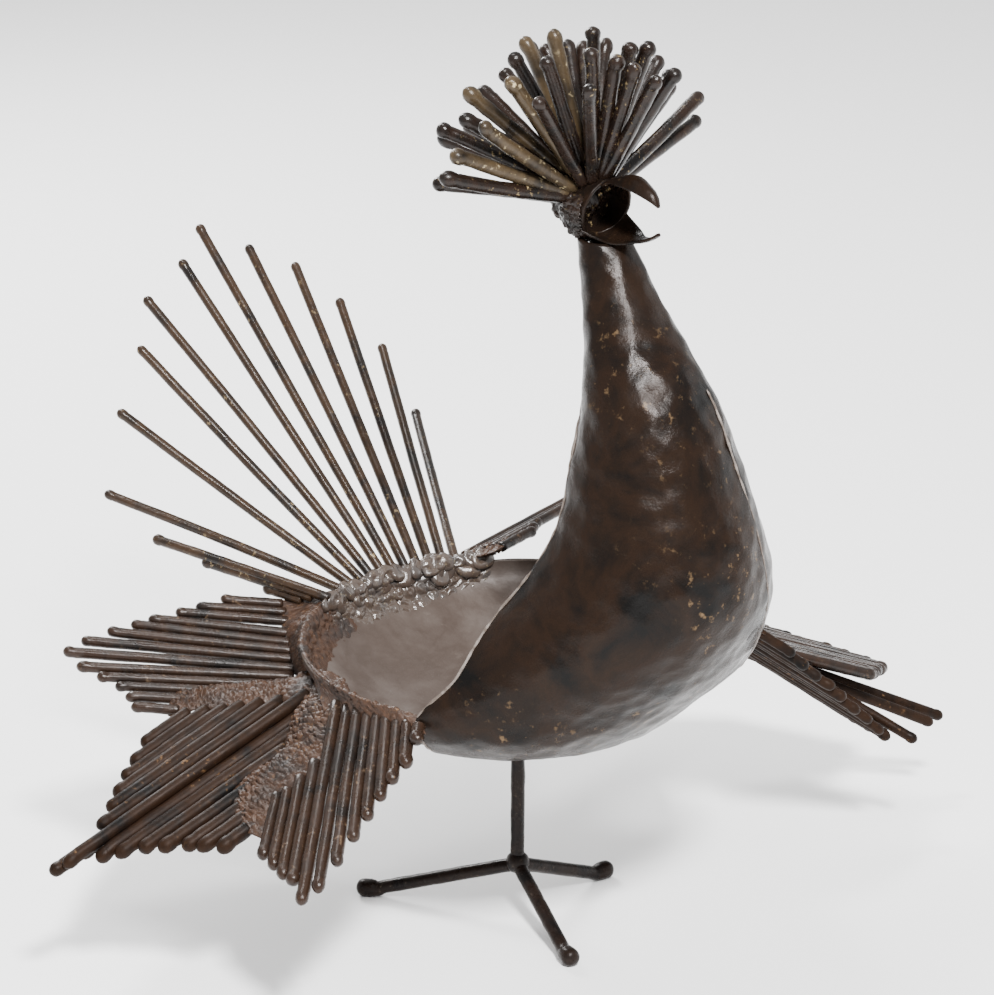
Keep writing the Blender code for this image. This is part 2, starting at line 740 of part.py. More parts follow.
def make_wing(name, side, around, material, front_material, collection, cutters):
    """Three leaves parted along their seams; side is 1 for the right wing and -1 for the left."""
    right = side > 0
    rear = Leaf(
        mirror(seat(REAR_SEAT), side),
        RIGHT_REAR_RUN if right else LEFT_REAR_RUN,
        RIGHT_REAR_ACROSS if right else LEFT_REAR_ACROSS,
        REAR_COUNT if right else LEFT_REAR_COUNT, REAR_FIRST, REAR_PITCH,
    )
    middle = Leaf(
        mirror(seat(MIDDLE_SEAT), side),
        RIGHT_MIDDLE_RUN if right else LEFT_MIDDLE_RUN,
        RIGHT_MIDDLE_ACROSS if right else LEFT_MIDDLE_ACROSS,
        MIDDLE_COUNT, MIDDLE_FIRST, MIDDLE_PITCH,
    )
    front = Leaf(
        mirror(seat(FRONT_SEAT), side),
        RIGHT_FRONT_RUN if right else LEFT_FRONT_RUN,
        RIGHT_FRONT_ACROSS if right else LEFT_FRONT_ACROSS,
        FRONT_COUNT, FRONT_FIRST, FRONT_PITCH,
    )
    middle_tips = tent(MIDDLE_COUNT, *(MIDDLE_REACH if right else LEFT_MIDDLE_REACH))
    front_start = (middle.origin + Vector(mirror(seat(FRONT_SEAM_START), side))) / 2
    if right:
        rear_side, middle_rear = seam_blocks(
            name + "_rear_seam", middle.origin, mirror(seat(REAR_SEAM_END), side), rear, middle, cutters
        )
        middle_front, front_side = seam_blocks(
            name + "_front_seam", front_start, mirror(seat(FRONT_SEAM_END), side), middle, front, cutters
        )
        make_leaf(name + "_wing_rear", rear, rear_roots(rear), tent(REAR_COUNT, *REAR_REACH),
                  WEB_REACH, around + [rear_side], material, collection)
        make_leaf(name + "_wing_middle", middle, middle_roots(middle), middle_tips, 0.004,
                  around + [middle_rear, middle_front], material, collection)
        make_leaf(name + "_wing_front", front, front_roots(front), tent(FRONT_COUNT, *FRONT_REACH),
                  0.006, around + [front_side], front_material, collection)
        return
    front.origin -= Vector((0.0, 0.0, LEFT_FRONT_LOWER))
    make_leaf(name + "_wing_rear", rear, [0.0] * LEFT_REAR_COUNT,
              tent(LEFT_REAR_COUNT, *LEFT_REAR_REACH), 0.010, around, material, collection)
    main_run = Vector(LEFT_MAIN_RUN).normalized()
    main_rods = []
    for k in range(2):
        start = middle.point(LEAF_RADIUS * 2 * k, 0.0)
        end = start + main_run * (LEFT_MAIN_REACH - LEFT_MAIN_STEP * k)
        main_rods.append(add_bar("main_rod", ball_ended(start, end, LEAF_RADIUS), material, collection))
    pieces = leaf_pieces("left_middle", middle, middle_roots(middle), middle_tips, 0.004, material,
                         collection)
    pieces += leaf_pieces("left_front", front, front_roots(front),
                          tent(FRONT_COUNT, *LEFT_FRONT_REACH), 0.006, material, collection)
    fuse(name + "_wing_front", pieces + main_rods, around, material, collection)


def centre_over_origin(collection):
    """Moves the whole bird sideways so that the middle of its footprint stands over the origin."""
    graph = bpy.context.evaluated_depsgraph_get()
    corners = [
        Vector(corner) for piece in collection.objects for corner in piece.evaluated_get(graph).bound_box
    ]
    forward = [corner.x for corner in corners]
    lateral = [corner.y for corner in corners]
    middle = Vector((max(forward) + min(forward), max(lateral) + min(lateral), 0.0)) / 2
    for piece in collection.objects:
        piece.data.transform(Matrix.Translation(-middle))
    print("moved by", [round(value, 6) for value in -middle])


def main():
    clear_scene()
    parts = new_collection("rooster_sculpture", False)
    cutters = new_collection("cutters", True)
    dark = iron("dark iron", IRON_DARK, 0.42)
    brown = iron("brown iron", IRON_BROWN, 0.40)
    grey = iron("worn grey iron", IRON_GREY, 0.45)
    make_dish(grey, parts)
    make_breast(dark, parts)
    make_beak(dark, parts)
    dish_envelope = make_dish_envelope(cutters)
    plate = bmesh.new()
    loft(plate, breast_rings(1.012), False)
    breast_envelope = add_cutter("breast_envelope", plate, cutters)
    thicken(breast_envelope, SHEET + GAP, 1.0)
    add_object("tail_weld", mesh_of("tail_weld", bead_shape(0.0)), brown, parts)
    bead_envelope = add_cutter("bead_envelope", bead_shape(3 * GAP), cutters)
    make_fan(bead_envelope, brown, parts)
    make_spray([bead_envelope, dish_envelope], brown, parts)
    make_foot(RIM_HEIGHT - DISH_DEPTH, dark, parts, cutters)
    make_crest(make_head_envelopes(cutters), brown, parts)
    around = [dish_envelope, bead_envelope, breast_envelope]

    make_wing("right", 1, around, brown, dark, parts, cutters)
    make_wing("left", -1, around, brown, dark, parts, cutters)
    centre_over_origin(parts)


main()
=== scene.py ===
"""Looks of the welded iron rooster: hammered plates, melted rods, weld beads and worn brown patina.

Everything is worked out in the bird's own place, metres from the leg's axis: +X forward, +Y to its
left, +Z up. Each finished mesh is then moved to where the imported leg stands.
"""

import math
import random

import bmesh
import bpy
from mathutils import Matrix, Vector, noise


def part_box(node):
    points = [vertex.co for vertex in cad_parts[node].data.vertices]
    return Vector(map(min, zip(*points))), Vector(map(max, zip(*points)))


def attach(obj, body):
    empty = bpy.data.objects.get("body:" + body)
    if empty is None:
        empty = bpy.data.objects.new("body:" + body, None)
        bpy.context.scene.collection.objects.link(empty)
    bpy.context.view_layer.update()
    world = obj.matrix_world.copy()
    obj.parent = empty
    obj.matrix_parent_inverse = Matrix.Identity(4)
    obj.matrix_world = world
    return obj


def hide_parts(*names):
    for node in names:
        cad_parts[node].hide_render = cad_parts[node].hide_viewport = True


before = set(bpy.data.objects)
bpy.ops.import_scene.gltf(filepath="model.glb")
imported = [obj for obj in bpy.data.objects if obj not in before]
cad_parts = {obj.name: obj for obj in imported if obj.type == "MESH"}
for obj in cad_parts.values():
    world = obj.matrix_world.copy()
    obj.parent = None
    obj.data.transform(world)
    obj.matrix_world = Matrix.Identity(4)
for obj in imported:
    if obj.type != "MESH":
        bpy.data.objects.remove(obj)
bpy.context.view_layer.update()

leg_low, leg_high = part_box("leg")
LEG_AXIS = Vector(((leg_low.x + leg_high.x) / 2, (leg_low.y + leg_high.y) / 2, 0.0))

# Stock
SHEET = 0.0020
BEAK_SHEET = 0.0016
BLADE_SHEET = BEAK_SHEET * 0.8
FEATHER_RADIUS = 0.00275
LEAF_RADIUS = 0.0029
MIDDLE_LEAF_RADIUS = 0.0038
FRONT_LEAF_RADIUS = 0.0033
CREST_RADIUS = 0.0035
LEG_RADIUS = 0.0037

# Dish on the back. Its front left is drawn in by a share of its width, most between rim and bottom
RIM_HEIGHT = 0.1576
DISH_RADIUS = 0.1165
DISH_DEPTH = 0.0430
DISH_FORWARD = 0.0062
DRAWN_TURN = math.radians(45.0)
DRAWN_AT_RIM = 0.033
DRAWN_BELOW = 0.115
DRAWN_FADE_HEIGHT = 0.055

# Breast plate. It passes under the dish, and its sections above the rim give the share of the height
# from rim to neck, the place forward, the radius and half the angle that the sheet goes round
PLATE_GAP = 0.0003
PLATE_RADIUS = DISH_RADIUS + SHEET + PLATE_GAP
PLATE_HALF_ANGLE = 67.5
PLATE_UNDER = 0.90
RIM_SHARE = 0.26
NECK_TOP = 0.3864
BREAST_SHAPE = (
    (0.00, DISH_FORWARD, PLATE_RADIUS, PLATE_HALF_ANGLE),
    (0.10, 0.0478, 0.0952, 80.0),
    (0.25, 0.0884, 0.0692, 105.0),
    (0.39, 0.1040, 0.0528, 115.0),
    (0.53, 0.1030, 0.0426, 121.0),
    (0.69, 0.0978, 0.0317, 143.0),
    (0.86, 0.0785, 0.0200, 166.0),
    (1.00, 0.0634, 0.0125, 174.0),
)
BREAST_COLUMNS = 130
BREAST_ROWS = 210
RIM_BLEND = 0.022
BLEND_ROUNDS = 60
EDGE_STEPS = 190
EDGE_RADIUS = 0.0008
LOWER_EDGE_RADIUS = 0.0009
SEAM_TURN = 31.0
SEAM_STEPS = range(20, 150)
SEAM_RADIUS = 0.0006

# Head: the pipe's mouth leans, its top further forward than its bottom
HEAD_RADIUS = 0.0155
HEAD_HEIGHT = 0.4015
HEAD_BACK = 0.0500
MOUTH_TOP = 0.0690
MOUTH_BOTTOM = 0.0590
# Forward place of a blade's cross sections, each with height, reach to the right and to the left, and
# how far those edges hang below the middle
UPPER_BLADE = (
    (0.0672, 0.4165, 0.0070, 0.0120, 0.0022, 0.0060),
    (0.0733, 0.4185, 0.0062, 0.0100, 0.0020, 0.0048),
    (0.0806, 0.4210, 0.0064, 0.0078, 0.0042, 0.0040),
    (0.0874, 0.4222, 0.0062, 0.0060, 0.0060, 0.0036),
    (0.0941, 0.4197, 0.0050, 0.0044, 0.0052, 0.0030),
    (0.1004, 0.4150, 0.0030, 0.0028, 0.0030, 0.0018),
    (0.1035, 0.4100, 0.0008, 0.0008, 0.0004, 0.0004),
)
LOWER_BLADE = (
    (0.0570, 0.3866, 0.0125, 0.0125, -0.0062, -0.0062),
    (0.0620, 0.3864, 0.0122, 0.0146, -0.0056, -0.0100),
    (0.0660, 0.3862, 0.0098, 0.0152, -0.0034, -0.0078),
    (0.0710, 0.3861, 0.0072, 0.0148, -0.0018, -0.0056),
    (0.0760, 0.3864, 0.0056, 0.0136, -0.0012, -0.0036),
    (0.0820, 0.3876, 0.0044, 0.0104, -0.0008, -0.0018),
    (0.0880, 0.3895, 0.0032, 0.0066, -0.0006, -0.0010),
    (0.0950, 0.3920, 0.0022, 0.0036, -0.0006, -0.0006),
    (0.1005, 0.3945, 0.0016, 0.0022, -0.0004, -0.0004),
    (0.1028, 0.3968, 0.0010, 0.0012, 0.0, 0.0),
)

# Crest
CREST_CENTRE = Vector((0.0551, 0.0, 0.4031))
CREST_LENGTH = 0.0870
CREST_ROOT = 0.013

# Tail: the fan's tips are given from the middle rod outward, as place sideways, height and place back;
# the spray's rods as length, reach inward past the rim and dip of the inner end
FAN_PITCH = 0.0071
FAN_OFFSET = 0.0055
FAN_TIPS = (
    (0.0000, 0.3177, 0.2746),
    (0.0229, 0.3052, 0.2600),
    (0.0510, 0.2907, 0.2548),
    (0.0686, 0.2704, 0.2371),
    (0.0905, 0.2413, 0.2267),
    (0.1071, 0.2007, 0.2174),
)
SPRAY_RODS = ((0.0890, 0.020, 0.0060), (0.0580, 0.010, 0.0030), (0.0200, 0.004, 0.0012))
SPRAY_START = Vector((-0.1130, -0.0575, 0.1700))
SPRAY_DIRECTION = Vector((-0.907, -0.386, 0.085)).normalized()

# Foot: each toe has its reach and its heading in degrees, and its melted end swells by these steps
ANKLE_HEIGHT = 0.0286
ANKLE_RADIUS = 0.0062
TOE_TIP_HEIGHT = 0.0046
TOE_END = (
    (0.0080, 0.0039), (0.0060, 0.0044), (0.0035, 0.0049), (0.0, 0.0050),
    (-0.0018, 0.0046), (-0.0032, 0.0036), (-0.0041, 0.0020), (-0.0044, 0.0002),
)
TOES = (("toe_front", 0.0697, -17.4), ("toe_left", 0.0629, 90.9), ("toe_back", 0.0839, 217.0))

# Photograph's view of the bird
VIEW_TURN = math.radians(50.0)
VIEW_RISE = math.radians(20.0)
VIEW_RIGHT = Vector((math.cos(VIEW_TURN), math.sin(VIEW_TURN), 0.0))
VIEW_BACK = Vector((
    math.sin(VIEW_TURN) * math.cos(VIEW_RISE),
    -math.cos(VIEW_TURN) * math.cos(VIEW_RISE),
    math.sin(VIEW_RISE),
))
VIEW_UP = VIEW_BACK.cross(VIEW_RIGHT)

chance = random.Random(7)


# Helpers


def smooth_value(stations, place):
    """Smooth curve through (place, value) stations, flat beyond its ends."""
    if place <= stations[0][0]:
        return stations[0][1]
    for k in range(len(stations) - 1):
        (x0, y0), (x1, y1) = stations[k], stations[k + 1]
        if place <= x1:
            before = stations[k - 1] if k else stations[k]
            after = stations[k + 2] if k + 2 < len(stations) else stations[k + 1]
            slope0 = (y1 - before[1]) / (x1 - before[0])
            slope1 = (after[1] - y0) / (after[0] - x0)
            t = (place - x0) / (x1 - x0)
            span = x1 - x0
            return (
                (2 * t**3 - 3 * t**2 + 1) * y0
                + (t**3 - 2 * t**2 + t) * span * slope0
                + (3 * t**2 - 2 * t**3) * y1
                + (t**3 - t**2) * span * slope1
            )
    return stations[-1][1]


def mapped_grid(across_steps, along_steps, place):
    """bmesh grid whose corners run 0..1 both ways, each point put where place(across, along) says."""
    shape = bmesh.new()
    bmesh.ops.create_grid(shape, x_segments=across_steps, y_segments=along_steps, size=0.5)
    for v in shape.verts:
        v.co = place(v.co.x + 0.5, v.co.y + 0.5)
    return shape


def hammer(shape, depth, cell, swell, wave):
    """Hammer dents of one cell size over a slow swell, along each point's normal."""
    shape.normal_update()
    moves = []
    for v in shape.verts:
        near = noise.voronoi(v.co / cell)[0][0]
        slow = noise.noise(v.co / wave)
        moves.append(v.normal * (depth * (near - 0.45) + swell * slow))
    for v, move in zip(shape.verts, moves):
        v.co += move


def lump(spot, cell):
    """Height of drops of melted metal side by side, about 0 to 1, with creases and a fine grain."""
    near, following = noise.voronoi(spot / cell)[0][:2]
    crease = min(1.0, (following - near) * 2.2)
    dimple = 0.45 * math.exp(-((near / 0.15) ** 2))
    grain = 0.30 * noise.noise(spot / (cell * 0.25)) + 0.40 * noise.noise(spot / (cell * 2.5))
    return crease - dimple + grain


def melt(shape, depth, cell):
    """Drops of melted metal of one size, raised all over the shape."""
    shape.normal_update()
    moves = [v.normal * depth * (lump(v.co, cell) - 0.5) for v in shape.verts]
    for v, move in zip(shape.verts, moves):
        v.co += move


def weld_sheet(name, rows, thick, material, cell, soft=0.6, across_steps=90, along_steps=220,
               ragged=0.0014):
    """Lens-shaped sheet of lumpy weld metal through rows of points, with ragged edges."""
    look_ahead, look_beside, end_slope = 0.03, 0.05, 8.0

    def spot(across, along):
        along *= len(rows) - 1
        low = min(int(along), len(rows) - 2)
        sides = []
        for row in (rows[low], rows[low + 1]):
            step = across * (len(row) - 1)
            left = min(int(step), len(row) - 2)
            sides.append(row[left].lerp(row[left + 1], step - left))
        return sides[0].lerp(sides[1], along - low)

    def place(across, along):
        over = across <= 0.5
        share = across * 2.0 if over else 2.0 - across * 2.0
        base = spot(share, along)
        ahead = spot(share, min(along + look_ahead, 1.0)) - spot(share, max(along - look_ahead, 0.0))
        beside = spot(min(share + look_beside, 1.0), along) - spot(max(share - look_beside, 0.0), along)
        normal = beside.cross(ahead).normalized()
        ends = min(1.0, end_slope * along, end_slope * (1.0 - along))
        rounded = max(0.0, math.sin(math.pi * share) * ends) ** soft
        edge = (2.0 * share - 1.0) ** 3
        wander = noise.noise(Vector((along * 31.0, edge, 4.0)))
        wander += noise.noise(Vector((along * 9.0, edge, 8.0)))
        height = thick * rounded * (0.45 + 0.80 * lump(base, cell)) * (1.0 if over else -1.0)
        return base + normal * height + beside.normalized() * edge * ragged * wander

    shape = mapped_grid(across_steps, along_steps, place)
    close_up(shape, 0.00002)
    return finished(name, shape, material)


def melted_lump(name, spread, turn, centre, cell, material):
    """Rounded knot of weld metal, as wide each way as spread says, turned, placed and roughened."""
    shape = bmesh.new()
    bmesh.ops.create_icosphere(shape, subdivisions=5, radius=1.0)
    bmesh.ops.scale(shape, verts=shape.verts, vec=spread)
    bmesh.ops.rotate(shape, verts=shape.verts, cent=(0.0, 0.0, 0.0), matrix=turn)
    bmesh.ops.translate(shape, verts=shape.verts, vec=centre)
    melt(shape, 0.0018, cell)
    finished(name, shape, material)


def close_up(shape, reach=0.00003):
    """Merges the points that meet, and turns the faces outward."""
    bmesh.ops.remove_doubles(shape, verts=shape.verts, dist=reach)
    bmesh.ops.recalc_face_normals(shape, faces=shape.faces)


def any_way():
    """Random offset, from -1 to 1 along each axis."""
    return Vector([chance.uniform(-1.0, 1.0) for _ in range(3)])


def finished(name, shape, material, smooth=True):
    """Puts the mesh where the leg stands, makes the object, and lets it ride on the root."""
    bmesh.ops.translate(shape, verts=shape.verts, vec=LEG_AXIS)
    mesh = bpy.data.meshes.new(name)
    shape.to_mesh(mesh)
    shape.free()
    if smooth:
        mesh.shade_smooth()
    mesh.materials.append(material)
    piece = bpy.data.objects.new(name, mesh)
    bpy.context.scene.collection.objects.link(piece)
    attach(piece, "root")
    return piece


def add_wall(piece, thickness, offset=-1.0):
    """Gives an open sheet its thickness, inward unless the offset says otherwise."""
    wall = piece.modifiers.new("wall", "SOLIDIFY")
    wall.thickness = thickness
    wall.offset = offset


def add_rod(shape, stations, sides=12, rough=0.04, seed=0.0):
    """Closed round bar through (centre, radius) stations, a little uneven like hot-worked stock."""
    rings = len(stations)
    made = bmesh.ops.create_grid(shape, x_segments=sides, y_segments=rings - 1, size=0.5)["verts"]
    side = (stations[-1][0] - stations[0][0]).orthogonal().normalized()
    frames = []
    for k, (centre, radius) in enumerate(stations):
        ahead = stations[min(k + 1, rings - 1)][0] - stations[max(k - 1, 0)][0]
        ahead.normalize()
        side = (side - ahead * side.dot(ahead)).normalized()
        frames.append((centre, radius, side, ahead.cross(side)))
    for v in made:
        centre, radius, side, across = frames[round((v.co.y + 0.5) * (rings - 1))]
        turn = math.tau * round((v.co.x + 0.5) * sides) / sides
        out = side * math.cos(turn) + across * math.sin(turn)
        spot = centre + out * radius
        uneven = noise.noise(spot / 0.004 + Vector((seed, 0.0, 0.0)))
        v.co = centre + out * radius * (1.0 + rough * uneven)


def feather(start, end, radius, ball, rings=16, bow=0.0, nod=Vector()):
    """Stations of a bar with a rounded root and a melted ball, off its axis by nod, at its far end."""
    ball_length = 2.6
    along = (end - start).normalized()
    body = (end - start).length - radius * ball_length
    stations = [(start, radius * 0.02), (start + along * radius * 0.1, radius * 0.8)]
    for k in range(rings + 1):
        share = k / rings
        centre = start + along * (radius * 0.3 + (body - radius * 0.3) * share)
        centre.z += bow * math.sin(math.pi * share)
        centre += Vector((noise.noise(centre / 0.03), noise.noise(centre / 0.03 + Vector((9, 0, 0))),
                          0.0)) * radius * 0.06
        stations.append((centre, radius))
    tip = start + along * body
    for reach, swell in ((0.45, 0.97), (0.85, 1.0 + (ball - 1.0) * 0.7), (1.35, ball),
                         (1.85, ball * 0.93), (2.25, ball * 0.68), (2.52, ball * 0.34),
                         (ball_length, 0.02)):
        spot = tip + along * radius * reach + nod * (reach / ball_length) ** 1.5
        stations.append((spot, radius * swell))
    return stations


# Finishes


def iron(name, dark, brown, glint, rough, grain, patch, glint_share=0.35, bump=0.25, gloss=0.24):
    """Patinated iron: dark and brown patches, small worn glints and a fine pitted grain."""
    material = bpy.data.materials.new(name)
    material.use_nodes = True
    nodes, links = material.node_tree.nodes, material.node_tree.links
    shader = nodes["Principled BSDF"]
    place = nodes.new("ShaderNodeTexCoord")

    def noise_node(scale, detail, roughness, distortion=0.0):
        made = nodes.new("ShaderNodeTexNoise")
        made.inputs["Scale"].default_value = scale
        made.inputs["Detail"].default_value = detail
        made.inputs["Roughness"].default_value = roughness
        made.inputs["Distortion"].default_value = distortion
        links.new(place.outputs["Object"], made.inputs["Vector"])
        return made

    def ramp(source, stops):
        made = nodes.new("ShaderNodeValToRGB")
        while len(made.color_ramp.elements) < len(stops):
            made.color_ramp.elements.new(0.5)
        for element, (spot, value) in zip(made.color_ramp.elements, stops):
            element.position = spot
            element.color = value if isinstance(value, tuple) else (value, value, value, 1.0)
        links.new(source, made.inputs["Fac"])
        return made

    patches = noise_node(patch, 6.0, 0.62, 0.4)
    body = ramp(patches.outputs["Fac"], ((0.36, dark), (0.52, brown), (0.68, dark)))
    specks = noise_node(patch * 9.0, 4.0, 0.7)
    speck_mask = ramp(specks.outputs["Fac"], ((0.60, 0.0), (0.70, 1.0)))
    areas = noise_node(patch * 0.6, 3.0, 0.5)
    area_mask = ramp(areas.outputs["Fac"], ((0.45, 0.0), (0.62, glint_share)))
    glints = nodes.new("ShaderNodeMath")
    glints.operation = "MULTIPLY"
    links.new(speck_mask.outputs["Color"], glints.inputs[0])
    links.new(area_mask.outputs["Color"], glints.inputs[1])
    coloured = nodes.new("ShaderNodeMix")
    coloured.data_type = "RGBA"
    links.new(glints.outputs["Value"], coloured.inputs["Factor"])
    links.new(body.outputs["Color"], coloured.inputs["A"])
    coloured.inputs["B"].default_value = glint
    links.new(coloured.outputs["Result"], shader.inputs["Base Color"])

    spread = noise_node(patch * 2.2, 5.0, 0.6)
    shine = ramp(spread.outputs["Fac"], ((0.3, rough - 0.10), (0.7, rough + 0.14)))
    links.new(shine.outputs["Color"], shader.inputs["Roughness"])
    shader.inputs["Metallic"].default_value = 0.12
    shader.inputs["Specular IOR Level"].default_value = gloss

    pits = noise_node(grain, 6.0, 0.65)
    raised = nodes.new("ShaderNodeBump")
    raised.inputs["Strength"].default_value = bump
    raised.inputs["Distance"].default_value = 0.0008
    links.new(pits.outputs["Fac"], raised.inputs["Height"])
    links.new(raised.outputs["Normal"], shader.inputs["Normal"])
    return material


def shade(red, green, blue):
    """Opaque colour."""
    return (red, green, blue, 1.0)


plate_iron = iron("hammered dark iron", shade(0.0036, 0.0032, 0.0030), shade(0.0125, 0.0068, 0.0042),
                  shade(0.19, 0.12, 0.060), 0.24, 420.0, patch=20.0, glint_share=0.6, gloss=0.10)
dish_iron = iron("worn grey iron", shade(0.085, 0.068, 0.059), shade(0.050, 0.036, 0.029),
                 shade(0.20, 0.17, 0.15), 0.36, 300.0, patch=14.0)
crest_iron = iron("crest rod iron", shade(0.0045, 0.0038, 0.0034), shade(0.013, 0.0070, 0.0046),
                  shade(0.30, 0.22, 0.11), 0.24, 600.0, patch=36.0, glint_share=0.9)
rod_iron = iron("brown rod iron", shade(0.0090, 0.0070, 0.0060), shade(0.032, 0.018, 0.010),
                shade(0.30, 0.22, 0.12), 0.24, 700.0, patch=34.0, glint_share=0.8)
wing_iron = iron("dark wing iron", shade(0.0070, 0.0056, 0.0050), shade(0.022, 0.0115, 0.0070),
                 shade(0.20, 0.13, 0.08), 0.25, 700.0, patch=30.0, glint_share=0.6)
# Darker copy of the wing iron: painted shade for the leaves and rods that turn away from the light
painted_shade_rod_iron = iron("rusty rod iron darkened by painted shade", shade(0.0035, 0.0030, 0.0028), shade(0.016, 0.0078, 0.0042),
                 shade(0.20, 0.11, 0.05), 0.44, 700.0, patch=30.0, glint_share=0.7, gloss=0.07)
gilded_iron = iron("streaked pale rod iron", shade(0.0055, 0.0045, 0.0040), shade(0.050, 0.034, 0.018),
                   shade(0.46, 0.37, 0.22), 0.26, 600.0, patch=24.0, glint_share=1.0)
weld_iron = iron("weld iron", shade(0.050, 0.042, 0.038), shade(0.060, 0.042, 0.032),
                 shade(0.30, 0.24, 0.14), 0.19, 500.0, patch=60.0, glint_share=0.7, bump=0.3, gloss=0.7)
web_iron = iron("rusty web iron", shade(0.024, 0.019, 0.017), shade(0.048, 0.024, 0.014),
                shade(0.30, 0.16, 0.07), 0.36, 420.0, patch=40.0, glint_share=0.8, bump=0.6)
foot_iron = iron("dark foot iron", shade(0.006, 0.005, 0.0048), shade(0.014, 0.009, 0.007),
                 shade(0.15, 0.12, 0.09), 0.26, 600.0, patch=50.0, gloss=0.10)
# Pale iron for the plate's edges and seam: its light colour is a painted highlight along them
painted_highlight_edge_iron = iron("pale edge iron with painted highlight", shade(0.22, 0.19, 0.17), shade(0.08, 0.060, 0.048),
                 shade(0.5, 0.45, 0.4), 0.30, 900.0, patch=60.0)


# Making the dish


def drawn_in(spot):
    """The bowl's front left is flatter than its other sides, as it was beaten."""
    toward = max(0.0, math.cos(math.atan2(spot.y, spot.x - DISH_FORWARD) - DRAWN_TURN))
    below = (RIM_HEIGHT - spot.z) / DISH_DEPTH
    if below >= 0.0:
        amount = DRAWN_AT_RIM + DRAWN_BELOW * math.sin(math.pi * min(1.0, below)) ** 0.8
    else:
        amount = DRAWN_AT_RIM * max(0.0, 1.0 + below * DISH_DEPTH / DRAWN_FADE_HEIGHT)
    share = 1.0 - amount * toward
    return Vector((DISH_FORWARD + (spot.x - DISH_FORWARD) * share, spot.y * share, spot.z))


def dish_point(level, turn, radius=DISH_RADIUS, depth=DISH_DEPTH):
    """Point of the bowl: level 0 is its rim and 1 its bottom, and turn goes round from the front."""
    sink = level * math.pi / 2
    wide = radius * math.cos(sink)
    return drawn_in(Vector((
        DISH_FORWARD + wide * math.cos(turn),
        wide * math.sin(turn),
        RIM_HEIGHT - depth * math.sin(sink),
    )))


def make_dish():
    """Round shallow bowl with soft dents. Its last row stops a hair below the rim."""
    to_rim = 0.9999
    shape = mapped_grid(200, 70, lambda across, along: dish_point(
        1.0 - along * to_rim, math.tau * across))
    close_up(shape, 0.0001)
    hammer(shape, 0.0003, 0.013, 0.0012, 0.022)
    piece = finished("back_dish", shape, dish_iron)
    add_wall(piece, SHEET)
    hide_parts("back_dish")


# Making the breast plate


def breast_section(share):
    """Place forward, radius and half angle in degrees of the plate at a share of its height."""
    return [smooth_value([(row[0], row[k]) for row in BREAST_SHAPE], share) for k in (1, 2, 3)]


def breast_point(across, along):
    """Outer face of the plate: across 0 is the right edge and 1 the left, along 0 is under the dish."""
    swing = across * 2.0 - 1.0
    if along < RIM_SHARE:
        level = PLATE_UNDER * (1.0 - along / RIM_SHARE)
        turn = math.radians(PLATE_HALF_ANGLE) * swing
        return dish_point(level, turn, PLATE_RADIUS, DISH_DEPTH + SHEET + PLATE_GAP)
    share = (along - RIM_SHARE) / (1.0 - RIM_SHARE)
    forward, radius, half = breast_section(share)
    turn = math.radians(half) * swing
    height = RIM_HEIGHT + share * (NECK_TOP - RIM_HEIGHT)
    return drawn_in(Vector((forward + radius * math.cos(turn), radius * math.sin(turn), height)))


def make_breast():
    """Hammered plate, smoothed where it turns up from under the dish."""
    shape = mapped_grid(BREAST_COLUMNS, BREAST_ROWS, breast_point)
    bmesh.ops.recalc_face_normals(shape, faces=shape.faces)
    near_rim = [v for v in shape.verts if not v.is_boundary and abs(v.co.z - RIM_HEIGHT) < RIM_BLEND]
    for _ in range(BLEND_ROUNDS):
        bmesh.ops.smooth_vert(shape, verts=near_rim, factor=0.5, use_axis_x=True, use_axis_y=True,
                              use_axis_z=True)
    hammer(shape, 0.0012, 0.0110, 0.0008, 0.028)
    piece = finished("hammered_breast_plate", shape, plate_iron)
    add_wall(piece, SHEET)
    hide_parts("breast_plate")


def add_bead(shape, stations, radius, rough):
    """Thin bead through the points, tapered at both ends."""
    rounds = [(spot, radius) for spot in stations]
    rounds[0] = (stations[0], radius * 0.1)
    rounds[-1] = (stations[-1], radius * 0.1)
    add_rod(shape, rounds, sides=8, rough=rough)


def make_edge_bead():
    """Slightly burred edge along the plate's free sides and its lower end, coloured pale as a painted
    highlight.
    """
    shape = bmesh.new()
    steps = [k / EDGE_STEPS for k in range(EDGE_STEPS + 1)]
    for side in (0.0, 1.0):
        stations = []
        for along in steps:
            spot = breast_point(side, along)
            inward = (breast_point(0.5, along) - spot).normalized()
            stations.append(spot + inward * (0.0003 + 0.0005 * noise.noise(spot / 0.006)))
        add_bead(shape, stations, EDGE_RADIUS, 0.4)
    add_bead(shape, [breast_point(across, 0.0) for across in steps], LOWER_EDGE_RADIUS, 0.4)
    close_up(shape)
    finished("breast_plate_edge", shape, painted_highlight_edge_iron)


def make_seam():
    """Welded seam that runs up the left of the plate, coloured pale as a painted highlight."""
    stations = []
    for k in SEAM_STEPS:
        along = k / EDGE_STEPS
        share = max(0.0, (along - RIM_SHARE) / (1.0 - RIM_SHARE))
        half = breast_section(share)[2]
        stations.append(breast_point((SEAM_TURN / half + 1.0) / 2.0, along))
    shape = bmesh.new()
    add_bead(shape, stations, SEAM_RADIUS, 0.6)
    close_up(shape)
    finished("breast_plate_seam", shape, painted_highlight_edge_iron)


# Making the head


def pipe_point(across, along):
    """Point of the rolled pipe: across goes round it, along from its back to its slanting mouth."""
    turn = math.tau * across
    lean = (1.0 + math.sin(turn)) / 2.0
    mouth = MOUTH_BOTTOM + (MOUTH_TOP - MOUTH_BOTTOM) * lean**0.5
    return Vector((
        HEAD_BACK + (mouth - HEAD_BACK) * along,
        HEAD_RADIUS * math.cos(turn),
        HEAD_HEIGHT + HEAD_RADIUS * math.sin(turn),
    ))


